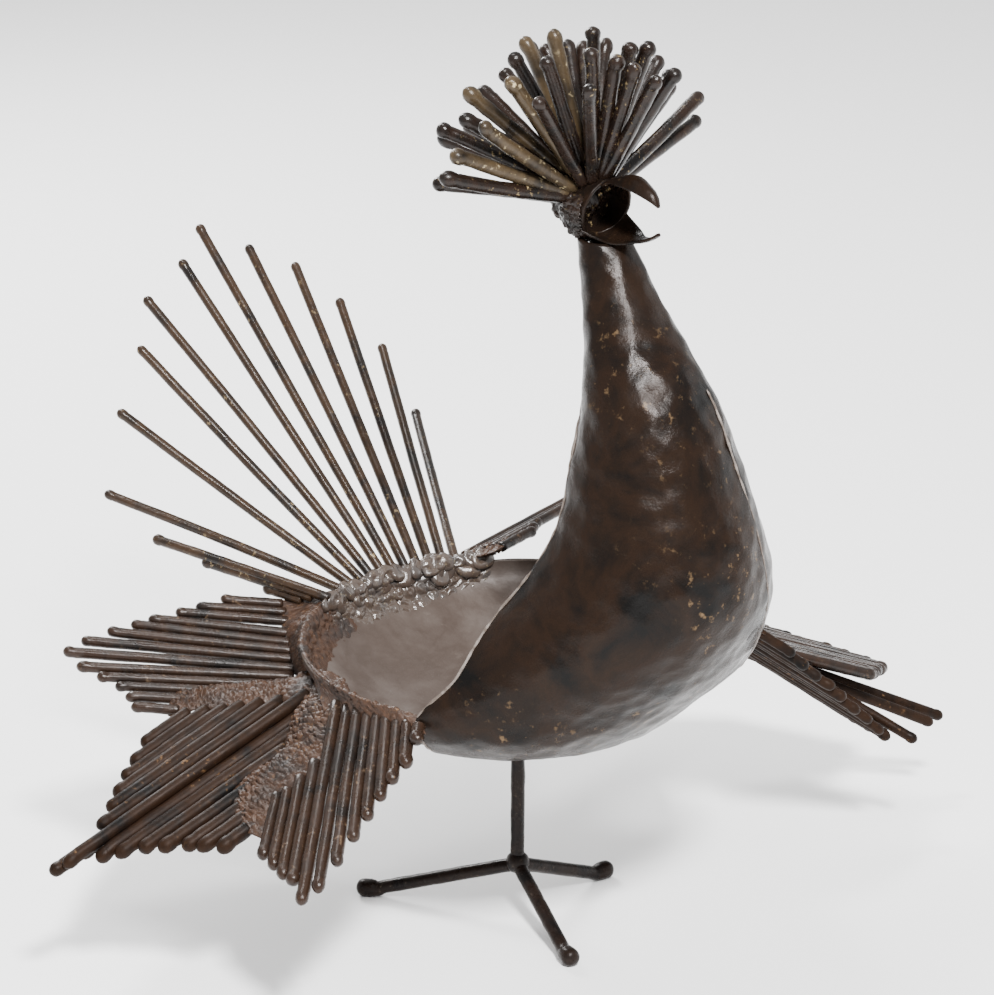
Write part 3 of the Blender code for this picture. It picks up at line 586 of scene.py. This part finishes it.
def blade(sections):
    """Gives the function that places a blade's points, from its root to its tip."""
    def place(across, along):
        forward = sections[0][0] + (sections[-1][0] - sections[0][0]) * along
        height, right, left, right_drop, left_drop = (
            smooth_value([(row[0], row[k]) for row in sections], forward) for k in range(1, 6)
        )
        swing = across * 2.0 - 1.0
        reach, drop = (right, right_drop) if swing < 0 else (left, left_drop)
        return Vector((forward, reach * swing, height - drop * abs(swing) ** 1.8))
    return place


def make_beak():
    """Pipe cut on a slant, a narrow upper blade that hooks down and a lower one that curls up."""
    for name, shape, wall in (
        ("beak_pipe", mapped_grid(84, 24, pipe_point), BEAK_SHEET),
        ("upper_blade", mapped_grid(36, 60, blade(UPPER_BLADE)), BLADE_SHEET),
        ("lower_blade", mapped_grid(36, 60, blade(LOWER_BLADE)), BLADE_SHEET),
    ):
        close_up(shape, 0.00002)
        hammer(shape, 0.0004, 0.005, 0.0003, 0.010)
        piece = finished(name, shape, plate_iron)
        add_wall(piece, wall)
        if name == "beak_pipe":
            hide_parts("beak")


def make_gusset_weld():
    """Lumpy weld round the underside of the pipe, where it stands on the neck."""
    rows = []
    count = 9
    for k in range(count):
        turn = math.radians(150.0 + 15.0 * k)
        out = Vector((0.0, math.cos(turn), math.sin(turn)))
        ring = Vector((0.0, 0.0, HEAD_HEIGHT)) + out * (HEAD_RADIUS + 0.0006)
        front = 0.0655 - 0.0045 * k / (count - 1)
        rows.append([
            ring + Vector((forward, 0.0, 0.0)) + out * proud
            for forward, proud in ((front, 0.0), (0.0600, 0.0006), (0.0540, 0.0012), (0.0480, -0.0010))
        ])
    weld_sheet("head_gusset_weld", rows, 0.0016, crest_iron, 0.0042)


def make_head_back():
    """Round sheet that closes the back of the pipe, so that the throat looks dark."""
    shape = bmesh.new()
    bmesh.ops.create_circle(shape, cap_ends=True, segments=48, radius=HEAD_RADIUS - 0.0006)
    upright = Matrix.Rotation(math.pi / 2, 3, "Y")
    bmesh.ops.rotate(shape, verts=shape.verts, cent=(0.0, 0.0, 0.0), matrix=upright)
    bmesh.ops.translate(shape, verts=shape.verts, vec=(HEAD_BACK + 0.0015, 0.0, HEAD_HEIGHT))
    back = finished("head_back_sheet", shape, crest_iron, smooth=False)
    add_wall(back, BEAK_SHEET, offset=0.0)


# Making the crest

# Angle across the front right view, seen length in millimetres, and lean: 1 is toward that view and -1
# away from it
CREST_RODS = (
    (39, 67, -1), (45, 75, -1), (56, 68, 1), (56, 71, -1), (58, 76, -1), (61, 59, 1), (65, 79, -1),
    (70, 76, 1), (72, 60, 1), (76, 74, 1), (76, 79, -1), (81, 64, 1), (85, 81, -1), (90, 82, 1),
    (91, 68, 1), (93, 80, -1), (94, 47, 1), (98, 81, -1), (104, 79, 1), (106, 80, -1), (110, 67, 1),
    (111, 83, -1), (113, 83, 1), (120, 75, 1), (123, 49, 1), (123, 78, -1), (127, 64, 1),
    (133, 76, -1), (141, 74, 1), (147, 71, -1), (150, 68, 1), (151, 59, 1), (156, 76, -1),
    (156, 78, 1), (165, 66, 1), (172, 74, -1), (175, 67, 1),
)
PALE_RODS = (18, 22, 26, 28, 31, 34)


def make_crest():
    """Burst of rods with melted ends, a few of them pale, and the weld knot behind the head."""
    dark, pale = bmesh.new(), bmesh.new()
    for k, (angle, seen, lean) in enumerate(CREST_RODS):
        turn = math.radians(angle)
        seen = min(0.999, seen / (CREST_LENGTH * 1000.0) * (1.0 + 0.08 * abs(math.cos(turn))))
        flat = VIEW_RIGHT * math.cos(turn) + VIEW_UP * math.sin(turn)
        out = flat * seen + VIEW_BACK * lean * math.sqrt(max(0.0, 1.0 - seen**2))
        nod = any_way() * CREST_RADIUS * 0.45
        stations = feather(
            CREST_CENTRE + out * CREST_ROOT, CREST_CENTRE + out * CREST_LENGTH,
            CREST_RADIUS * chance.uniform(0.94, 1.06), rings=14, bow=chance.uniform(-0.0009, 0.0009),
            ball=chance.uniform(1.04, 1.18), nod=nod,
        )
        add_rod(pale if k in PALE_RODS else dark, stations, rough=0.10, seed=k * 1.7)
    close_up(dark)
    close_up(pale)
    piece = finished("crest_rods", dark, crest_iron)
    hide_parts("crest")
    finished("crest_pale_rods", pale, gilded_iron)
    melted_lump("crest_weld_knot", (0.0120, 0.0140, 0.0160), Matrix.Identity(3),
                CREST_CENTRE - Vector((0.0115, 0.0, -0.0010)), 0.0050, crest_iron)


# Making the tail


def make_fan():
    """Eleven feather rods in an arched fan, whose feet stand on the rear of the rim."""
    shape = bmesh.new()
    half = len(FAN_TIPS) - 1
    ring = DISH_RADIUS - 0.0025
    for k in range(-half, half + 1):
        lateral, height, back = FAN_TIPS[abs(k)]
        tip = Vector((-back, math.copysign(lateral, k), height))
        foot_side = FAN_OFFSET + FAN_PITCH * k
        foot = Vector((DISH_FORWARD - math.sqrt(ring**2 - foot_side**2), foot_side, RIM_HEIGHT))
        stations = feather(foot, tip, FEATHER_RADIUS * 0.96, rings=26,
                           bow=chance.uniform(-0.001, 0.001), ball=chance.uniform(1.02, 1.12))
        add_rod(shape, stations, rough=0.05, seed=k * 2.3)
    close_up(shape)
    piece = finished("tail_rods", shape, rod_iron)
    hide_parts(*["tail_rod_%02d" % (k + 1) for k in range(2 * half + 1)])


def make_spray():
    """Three loose rods below each other at the fan's right foot."""
    shape = bmesh.new()
    lift = SPRAY_DIRECTION.cross(Vector((0.0, 0.0, 1.0))).cross(SPRAY_DIRECTION).normalized()
    for k, (length, inward, dip) in enumerate(SPRAY_RODS):
        start = SPRAY_START - lift * FEATHER_RADIUS * 1.9 * k
        root = start - SPRAY_DIRECTION * inward + Vector((0.0, 0.0, -dip))
        stations = feather(root, start + SPRAY_DIRECTION * length, FEATHER_RADIUS, ball=1.15)
        add_rod(shape, stations, rough=0.10, seed=k * 3.1)
    close_up(shape)
    piece = finished("side_spray_rods", shape, rod_iron)
    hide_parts("tail_side_spray")


def add_blob(shape, centre, outward, size, squash, stretch):
    """Drop of weld metal with a rolled edge, lying on the surface."""
    made = bmesh.ops.create_icosphere(shape, subdivisions=3, radius=1.0)["verts"]
    turn = outward.to_track_quat("Z", "Y").to_matrix() @ Matrix.Rotation(chance.uniform(0, 6.28), 3, "Z")
    seed = chance.uniform(0.0, 50.0)
    for v in made:
        off = math.hypot(v.co.x - 0.25, v.co.y)
        dip = 0.75 * math.exp(-(off**2) / 0.12)
        v.co *= 1.0 + 0.22 * noise.noise(v.co * 1.6 + Vector((seed, 0.0, 0.0)))
        v.co.z *= squash * (1.0 - dip)
        v.co.x *= stretch
        v.co = turn @ (v.co * size) + centre


def make_tail_weld():
    """Mat of melted metal over the rear of the rim, thinning out at both ends."""
    rows = []
    count = 15
    for k in range(count):
        turn = math.radians(149.0 + 66.0 * k / (count - 1))
        fade = math.sin(math.pi * (k + 1.5) / (count + 2)) ** 0.5
        rows.append([
            dish_point(0.06, turn, DISH_RADIUS + 0.0012),
            dish_point(0.0, turn, DISH_RADIUS + 0.0004) + Vector((0.0, 0.0, 0.0010)),
            dish_point(0.04, turn, DISH_RADIUS - 0.0024),
            dish_point(0.04 + 0.16 * fade, turn, DISH_RADIUS - 0.0021),
            dish_point(0.04 + 0.27 * fade, turn, DISH_RADIUS - 0.0017),
        ])
    mat = weld_sheet("tail_weld_mat", rows, 0.0022, weld_iron, 0.0066, soft=0.8,
                     across_steps=120, along_steps=330, ragged=0.0040)
    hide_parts("tail_weld")


# Rows of drops: first and last turn in degrees, how many, level below the rim and size
DROP_ROWS = (
    (152.0, 211.0, 19, 0.00, 0.0046),
    (157.0, 206.0, 12, 0.05, 0.0054),
    (163.0, 197.0, 5, 0.12, 0.0044),
)


def make_weld_drops():
    """Rows of looped drops on the mat, turned toward the middle of the dish."""
    shape = bmesh.new()
    for first, last, count, level, size in DROP_ROWS:
        for k in range(count):
            turn = math.radians(first + (last - first) * (k + chance.uniform(-0.4, 0.4)) / count)
            spot = dish_point(max(level + chance.uniform(-0.03, 0.03), 0.0), turn, DISH_RADIUS - 0.0022)
            if level < 0.03:
                spot.z = RIM_HEIGHT + 0.0012
            inward = Vector((DISH_FORWARD, 0.0, RIM_HEIGHT + 0.07)) - spot
            lean = Vector([chance.uniform(-0.35, 0.35) for _ in range(3)])
            inward = (inward.normalized() + lean).normalized()
            add_blob(shape, spot + inward * 0.0008, inward, size * chance.uniform(0.65, 1.25),
                     chance.uniform(0.45, 0.75), chance.uniform(1.0, 1.6))
    close_up(shape)
    finished("tail_weld_drops", shape, weld_iron)


# Making the wings

# Rods of the right wing, in millimetres on their leaf's plane: root's place and reach, tip's place and reach
REAR_RODS = (
    (-1.0, 9.0, -2.6, 42.6), (4.7, 7.0, 2.1, 54.6), (11.4, 5.0, 6.8, 66.6), (19.8, 3.0, 12.0, 79.0),
    (27.0, 1.0, 16.1, 89.4), (32.2, -1.0, 21.8, 101.4), (38.0, -3.5, 28.1, 114.9),
    (44.7, -5.2, 36.4, 123.8), (49.4, 1.6, 46.3, 114.9), (55.6, 2.6, 53.1, 104.5),
    (60.5, 35.0, 58.7, 95.2), (67.1, 50.8, 65.5, 88.4), (74.4, 60.0, 72.2, 85.3),
)
MIDDLE_RODS = (
    (-44.7, 85.3, 0), (-37.5, 95.2, 0), (-31.2, 105.6, 0), (-25.0, 114.4, 0), (-18.2, 123.2, 0),
    (-10.9, 133.1, 0), (-1.6, 168.0, 1.0), (1.8, 159.6, 4.2), (-4.6, 150.8, -3.0), (7.6, 145.6, 0),
    (14.6, 136.2, 0), (22.4, 127.9, 0), (31.0, 119.6, 0), (39.0, 111.8, 0), (47.3, 105.6, 0),
    (55.6, 100.4, 0),
)
FRONT_RODS = (
    (-48.4, 38.0, -49.9, 76.4), (-42.3, 36.4, -42.6, 84.2), (-36.0, 30.2, -35.8, 90.5),
    (-29.2, 22.0, -29.1, 97.2), (-23.0, -12.5, -21.8, 108.2), (-16.6, -9.4, -14.0, 101.4),
    (-10.0, -6.2, -6.4, 89.4), (-3.6, -3.1, 0.8, 75.9), (2.6, -0.5, 7.0, 65.5), (8.3, 2.6, 13.0, 54.6),
    (14.6, 5.7, 18.2, 45.8), (20.8, 8.3, 23.4, 35.9), (27.6, 11.4, 28.4, 25.0),
)
# Weld web between two leaves: on the one leaf's plane, then on the other's, place and reach in millimetres
REAR_SEAM = (
    (45.6, -16.0, 8.0, -6.0), (49.0, -4.0, 1.0, 2.0), (51.2, 8.1, -8.0, 19.5), (53.4, 24.6, -22.1, 33.6),
    (56.0, 40.6, -34.0, 43.4), (57.5, 50.4, -43.5, 51.0), (59.0, 59.1, -48.1, 60.5),
    (64.4, 64.5, -54.0, 62.7),
)
FRONT_SEAM = (
    (-4.0, 7.0, -24.0, -17.0), (4.3, 20.5, -23.6, -11.1), (13.2, 29.0, -22.8, 2.4),
    (20.3, 36.4, -22.2, 14.1), (22.8, 50.0, -26.0, 27.0), (21.4, 62.0, -38.0, 36.0),
    (24.0, 70.0, -49.0, 40.0), (36.0, 79.0, -50.4, 51.0), (51.5, 87.0, -50.0, 66.0),
)


class Leaf:
    """Flat leaf of rods in its own plane: where it starts, the way its rods run, the way they follow."""

    def __init__(self, origin, run, across):
        self.origin = Vector(origin)
        self.run = Vector(run).normalized()
        across = Vector(across)
        self.across = (across - self.run * across.dot(self.run)).normalized()
        self.normal = self.run.cross(self.across).normalized()

    def point(self, place, reach, lift=0.0):
        return self.origin + self.across * place + self.run * reach + self.normal * lift


RIGHT_REAR = Leaf((-0.1108, -0.0572, 0.1550), (-0.622, -0.782, 0.040), (0.687, -0.569, -0.452))
RIGHT_MIDDLE = Leaf((-0.0411, -0.0993, 0.1399), (-0.122, -0.911, -0.393), (0.990, -0.087, -0.106))
RIGHT_FRONT = Leaf((0.0234, -0.1139, 0.1518), (0.561, -0.639, -0.525), (0.826, 0.460, 0.323))
LEFT_REAR = Leaf((-0.1108, 0.0572, 0.1550), (-0.170, 0.980, 0.080), (0.900, 0.100, 0.420))
LEFT_MIDDLE = Leaf((-0.0411, 0.0993, 0.1399), (0.350, 0.866, -0.346), (0.970, 0.050, 0.0))
LEFT_FRONT = Leaf((0.0234, 0.1139, 0.1468), (0.561, 0.639, -0.560), (0.800, -0.450, 0.480))

# Left wing: where a leaf's rods start across it and how far apart they are, how far they reach, and the
# long rods doubled over them
LEFT_REAR_REACH = (0.1300, 0.0980, 0.0880, 0.0480, 0.0380, 0.0300)
LEFT_MIDDLE_FIRST = -0.0447
LEFT_MIDDLE_PITCH = 0.0077
LEFT_FRONT_FIRST = -0.0499
LEFT_FRONT_PITCH = 0.0065
FOLDED_RODS = 4
LEFT_MAIN_RUNS = (Vector((0.369, 0.828, -0.423)), Vector((0.388, 0.810, -0.439)))
LEFT_MAIN_LENGTH = 0.2180
LEFT_SHORT_MAIN = (Vector((0.0162, 0.1661, 0.1091)), Vector((0.0802, 0.2168, 0.0641)))
WEB_CELL = 0.0036


def tent(count, peak, top, step_before, step_after, before, after):
    """Reach of each rod: the longest, a first step down to its neighbours, then even steps."""
    reach = []
    for k in range(count):
        if k < peak:
            reach.append(top - step_before - before * (peak - 1 - k))
        elif k > peak:
            reach.append(top - step_after - after * (k - peak - 1))
        else:
            reach.append(top)
    return reach


def lay_rods(name, node, leaf, rods, radius, material, doubled=()):
    """Bars of a leaf from their roots to their tips, a little uneven, their ends melted round."""
    shape = bmesh.new()
    for k, (root, start, tip, reach, lift) in enumerate(rods):
        lift += chance.uniform(-0.0004, 0.0004)
        nod = any_way() * radius * 0.35
        stations = feather(leaf.point(root, start, lift), leaf.point(tip, reach, lift),
                           radius * chance.uniform(0.94, 1.04), rings=14,
                           ball=chance.uniform(1.02, 1.14), nod=nod)
        add_rod(shape, stations, rough=0.09, seed=k * 1.3)
    for start, end in doubled:
        add_rod(shape, feather(start, end, radius, ball=1.10), rough=0.10, seed=5.0)
    close_up(shape)
    piece = finished(name, shape, material)
    if node:
        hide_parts(node)


def in_metres(rows):
    """The same rows, from millimetres."""
    return [tuple(value / 1000.0 for value in row) for row in rows]


def seam_rows(rows, one, other):
    """Rows of points from one leaf's plane to the other's, bulged a little toward the viewer's side."""
    made = []
    for place, reach, far_place, far_reach in in_metres(rows):
        near, far = one.point(place, reach), other.point(far_place, far_reach)
        made.append([near, near.lerp(far, 0.5) + Vector((0.0, 0.0, 0.0012)), far])
    return made


def rim_rows(first, last, inner, outer):
    """Rows from inside the dish's rim, over it, to where a leaf's rods start."""
    made = []
    count = 12
    for k in range(count):
        share = k / (count - 1)
        turn = -math.radians(first + (last - first) * share)
        made.append([
            dish_point(inner, turn, DISH_RADIUS - 0.0023),
            dish_point(inner * 0.5, turn, DISH_RADIUS - 0.0022),
            dish_point(0.0, turn, DISH_RADIUS - 0.0010) + Vector((0.0, 0.0, 0.0006)),
            outer[0].lerp(outer[1], share),
        ])
    return made


def pitched(count, first, pitch):
    """Places a pitch apart."""
    return [first + pitch * k for k in range(count)]


def middle_root(place):
    """Where a rod of a middle leaf starts: in a V, from the leaf's root outward."""
    return max(-1.12 * place, 1.40 * place) + 0.0030


def front_root(place):
    """Where a rod of the left front leaf starts: in a V whose two sides rise unlike."""
    aside = place + 0.0234
    return max(-0.0125 + 0.47 * aside, -1.94 * aside)


def root_web(name, leaf, places, root, reaches, thick):
    """Weld web across a leaf's roots, through points at these reaches from where its rods start."""
    rows = [[leaf.point(place, root(place) + reach) for reach in reaches] for place in places]
    weld_sheet(name, rows, thick, web_iron, WEB_CELL)


def make_right_wing():
    """Three leaves of close-set rods, the webs between them and on the rim, and the weld at their root."""
    lay_rods("right_wing_rear_rods", "right_wing_rear", RIGHT_REAR,
             [row + (0.0,) for row in in_metres(REAR_RODS)], LEAF_RADIUS, wing_iron)
    # The middle leaf takes the iron darkened by painted shade
    lay_rods("right_wing_middle_rods", "right_wing_middle", RIGHT_MIDDLE,
             [(place, middle_root(place), place, reach, lift) for place, reach, lift
              in in_metres(MIDDLE_RODS)], MIDDLE_LEAF_RADIUS, painted_shade_rod_iron)
    lay_rods("right_wing_front_rods", "right_wing_front", RIGHT_FRONT,
             [row + (0.0,) for row in in_metres(FRONT_RODS)], FRONT_LEAF_RADIUS, wing_iron)
    weld_sheet("right_wing_rear_seam", seam_rows(REAR_SEAM, RIGHT_REAR, RIGHT_MIDDLE), 0.0030, web_iron,
               WEB_CELL)
    weld_sheet("right_wing_front_seam", seam_rows(FRONT_SEAM, RIGHT_MIDDLE, RIGHT_FRONT), 0.0034,
               web_iron, WEB_CELL)
    rear_roots = (RIGHT_REAR.point(-0.0030, 0.0130), RIGHT_REAR.point(0.0500, 0.0010))
    weld_sheet("right_rim_rear_web", rim_rows(163.0, 110.0, 0.30, rear_roots), 0.0020, web_iron,
               0.0050, soft=0.7, ragged=0.0024)
    front_roots = (RIGHT_FRONT.point(-0.0300, -0.0080), RIGHT_FRONT.point(0.0330, 0.0190))
    weld_sheet("right_rim_front_web", rim_rows(116.0, 68.0, 0.10, front_roots), 0.0018, web_iron,
               0.0044, soft=0.7)
    joint = (RIGHT_REAR.point(0.0470, -0.0040) + RIGHT_MIDDLE.point(0.0, 0.0050)
             + RIGHT_FRONT.point(-0.0270, -0.0100)) / 3
    melted_lump("right_wing_root_weld", (0.0190, 0.0150, 0.0055),
                RIGHT_MIDDLE.normal.to_track_quat("Z", "Y").to_matrix(), joint, 0.0042, web_iron)


def make_left_wing():
    """Three leaves like the right wing's, the front one partly folded back behind its longest rods."""
    middle_reach = tent(14, 6, 0.1760, 0.0060, 0.0045, 0.0092, 0.0052)
    front_reach = tent(13, 4, 0.1266, 0.0078, 0.0062, 0.0078, 0.0109)
    middle_places = pitched(14, LEFT_MIDDLE_FIRST, LEFT_MIDDLE_PITCH)
    front_places = pitched(13, LEFT_FRONT_FIRST, LEFT_FRONT_PITCH)
    mains = []
    for k, run in enumerate(LEFT_MAIN_RUNS):
        start = LEFT_MIDDLE.point(LEAF_RADIUS * 2 * k, 0.0)
        mains.append((start, start + run.normalized() * (LEFT_MAIN_LENGTH - 0.0100 * k)))
    mains.append(LEFT_SHORT_MAIN)
    lay_rods("left_wing_rear_rods", "left_wing_rear", LEFT_REAR,
             [(p, 0.0, p, reach, 0.0) for p, reach in zip(pitched(6, -0.0026, 0.0060), LEFT_REAR_REACH)],
             LEAF_RADIUS, wing_iron)
    lay_rods("left_wing_middle_rods", "left_wing_front", LEFT_MIDDLE,
             [(p, middle_root(p), p, reach, 0.0) for p, reach in zip(middle_places, middle_reach)],
             FRONT_LEAF_RADIUS, wing_iron)
    # The front leaf, the long rods doubled over it and the folded rods take the iron darkened by painted
    # shade
    lay_rods("left_wing_front_rods", None, LEFT_FRONT,
             [(p, front_root(p), p, reach, 0.0) for p, reach
              in zip(front_places[FOLDED_RODS:], front_reach[FOLDED_RODS:])],
             LEAF_RADIUS, painted_shade_rod_iron, mains)
    fold = LEFT_FRONT.point(LEFT_FRONT_FIRST + LEFT_FRONT_PITCH * FOLDED_RODS, 0.0)
    lay_rods("left_wing_folded_rods", None, Leaf(fold, LEFT_FRONT.run, -VIEW_BACK),
             [(p, 0.030, p, reach, 0.0) for p, reach
              in zip(pitched(FOLDED_RODS, LEFT_FRONT_PITCH, LEFT_FRONT_PITCH),
                     reversed(front_reach[:FOLDED_RODS]))],
             LEAF_RADIUS, painted_shade_rod_iron)
    root_web("left_wing_rear_web", LEFT_REAR, pitched(6, -0.0050, 0.0070), lambda place: 0.0,
             (-0.010, 0.004, 0.018), 0.0026)
    root_web("left_wing_middle_web", LEFT_MIDDLE, pitched(15, -0.0480, LEFT_MIDDLE_PITCH), middle_root,
             (-0.007, 0.012), 0.0038)
    root_web("left_wing_front_web", LEFT_FRONT, pitched(10, -0.0260, LEFT_FRONT_PITCH), front_root,
             (-0.008, 0.010), 0.0030)


# Making the leg and toes


def make_leg():
    """Upright bar from the dish down to the knot where the toes meet."""
    shape = bmesh.new()
    ankle = Vector((0.0, 0.0, ANKLE_HEIGHT))
    top = Vector((0.0, 0.0, RIM_HEIGHT - DISH_DEPTH - 0.001))
    steps = 24
    stations = [(ankle - Vector((0, 0, 0.002)), 0.0001)]
    for k in range(steps + 1):
        stations.append((ankle.lerp(top, k / steps), LEG_RADIUS))
    stations.append((top + Vector((0, 0, 0.0008)), 0.0001))
    add_rod(shape, stations, sides=20, rough=0.05)
    knot = bmesh.ops.create_icosphere(shape, subdivisions=4, radius=ANKLE_RADIUS)["verts"]
    bmesh.ops.translate(shape, verts=knot, vec=ankle)
    close_up(shape)
    hammer(shape, 0.0004, 0.004, 0.0002, 0.006)
    piece = finished("leg_bar", shape, foot_iron)
    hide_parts("leg")


def make_toes():
    """Three bars that slope to the ground and end in a melted swelling, flat where it rests."""
    steps = 19
    for node, reach, heading in TOES:
        shape = bmesh.new()
        turn = math.radians(heading)
        outward = Vector((math.cos(turn), math.sin(turn), 0.0))
        tip = outward * reach + Vector((0.0, 0.0, TOE_TIP_HEIGHT))
        root = Vector((0.0, 0.0, ANKLE_HEIGHT)) + Vector((0.0, 0.0, -0.001))
        knee = tip - outward * 0.0110 + Vector((0.0, 0.0, 0.0016))
        stations = [(root, 0.0002), (root + outward * 0.0005, LEG_RADIUS)]
        for k in range(1, steps + 1):
            stations.append((root.lerp(knee, k / steps), LEG_RADIUS))
        for back, wide in TOE_END:
            stations.append((tip - outward * back, wide))
        add_rod(shape, stations, sides=20, rough=0.06, seed=heading)
        close_up(shape)
        for v in shape.verts:
            v.co.z = max(v.co.z, 0.0)
        piece = finished(node + "_bar", shape, foot_iron)
        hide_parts(node)


# Studio


# Lamps: place right, up and toward the viewer from the bird, size and power
LAMPS = (
    ("front softbox", 0.40, 1.32, 1.9, 0.34, 200.0),
    ("overhead", -0.5, 2.0, -0.2, 0.40, 25.0),
    ("right fill", 2.0, 0.6, -0.6, 1.2, 10.0),
    ("rear overhead", -0.8, 1.5, -1.6, 0.6, 40.0),
)


def make_floor():
    """Wide sheet of pale paper that the bird stands on."""
    shape = bmesh.new()
    bmesh.ops.create_grid(shape, x_segments=1, y_segments=1, size=12.0)
    mesh = bpy.data.meshes.new("floor")
    shape.to_mesh(mesh)
    shape.free()
    paper = bpy.data.materials.new("pale paper")
    paper.use_nodes = True
    shader = paper.node_tree.nodes["Principled BSDF"]
    shader.inputs["Base Color"].default_value = shade(0.95, 0.95, 0.95)
    shader.inputs["Roughness"].default_value = 0.9
    mesh.materials.append(paper)
    floor = bpy.data.objects.new("floor", mesh)
    bpy.context.scene.collection.objects.link(floor)


def make_lights():
    """White surroundings and four soft lamps, each turned to the middle of the bird."""
    world = bpy.data.worlds.new("studio")
    world.use_nodes = True
    background = world.node_tree.nodes["Background"]
    background.inputs["Color"].default_value = shade(1.0, 1.0, 1.0)
    background.inputs["Strength"].default_value = 1.0
    bpy.context.scene.world = world
    target = LEG_AXIS + Vector((0.0, 0.0, 0.22))
    for name, right, up, back, size, power in LAMPS:
        lamp = bpy.data.lights.new(name, "AREA")
        lamp.shape = "SQUARE"
        lamp.size = size
        lamp.energy = power
        holder = bpy.data.objects.new(name, lamp)
        spot = target + VIEW_RIGHT * right + Vector((0.0, 0.0, up)) + VIEW_BACK * back
        turn = (spot - target).to_track_quat("Z", "Y").to_matrix().to_4x4()
        holder.matrix_world = Matrix.Translation(spot) @ turn
        bpy.context.scene.collection.objects.link(holder)


def make_camera():
    """The photograph's view: a long lens far off to the bird's front right, a little above it.

    Distances in pixels are the photograph's, where the leg stands. The view's middle lies this many of
    them right of the leg's foot, above it and toward the viewer.
    """
    photo_width = 994
    pixel = 0.00052
    lens_pixels = 4000
    middle_right, middle_up, middle_near = -21, 422, 88
    sensor = 36.0
    middle = (VIEW_RIGHT * (middle_right * pixel) + VIEW_UP * (middle_up * pixel)
              + VIEW_BACK * (middle_near * pixel))
    lens = bpy.data.cameras.new("photo")
    lens.sensor_fit = "HORIZONTAL"
    lens.sensor_width = sensor
    lens.lens = sensor * lens_pixels / photo_width
    lens.clip_end = 60.0
    camera = bpy.data.objects.new("photo", lens)
    turn = Matrix((VIEW_RIGHT, VIEW_UP, VIEW_BACK)).transposed().to_4x4()
    distance = lens_pixels * pixel
    camera.matrix_world = Matrix.Translation(LEG_AXIS + middle + VIEW_BACK * distance) @ turn
    bpy.context.scene.collection.objects.link(camera)
    bpy.context.scene.camera = camera


make_dish()
make_breast()
make_edge_bead()
make_seam()
make_beak()
make_gusset_weld()
make_head_back()
make_crest()
make_fan()
make_spray()
make_tail_weld()
make_weld_drops()
make_right_wing()
make_left_wing()
make_leg()
make_toes()
make_floor()
make_lights()
make_camera()
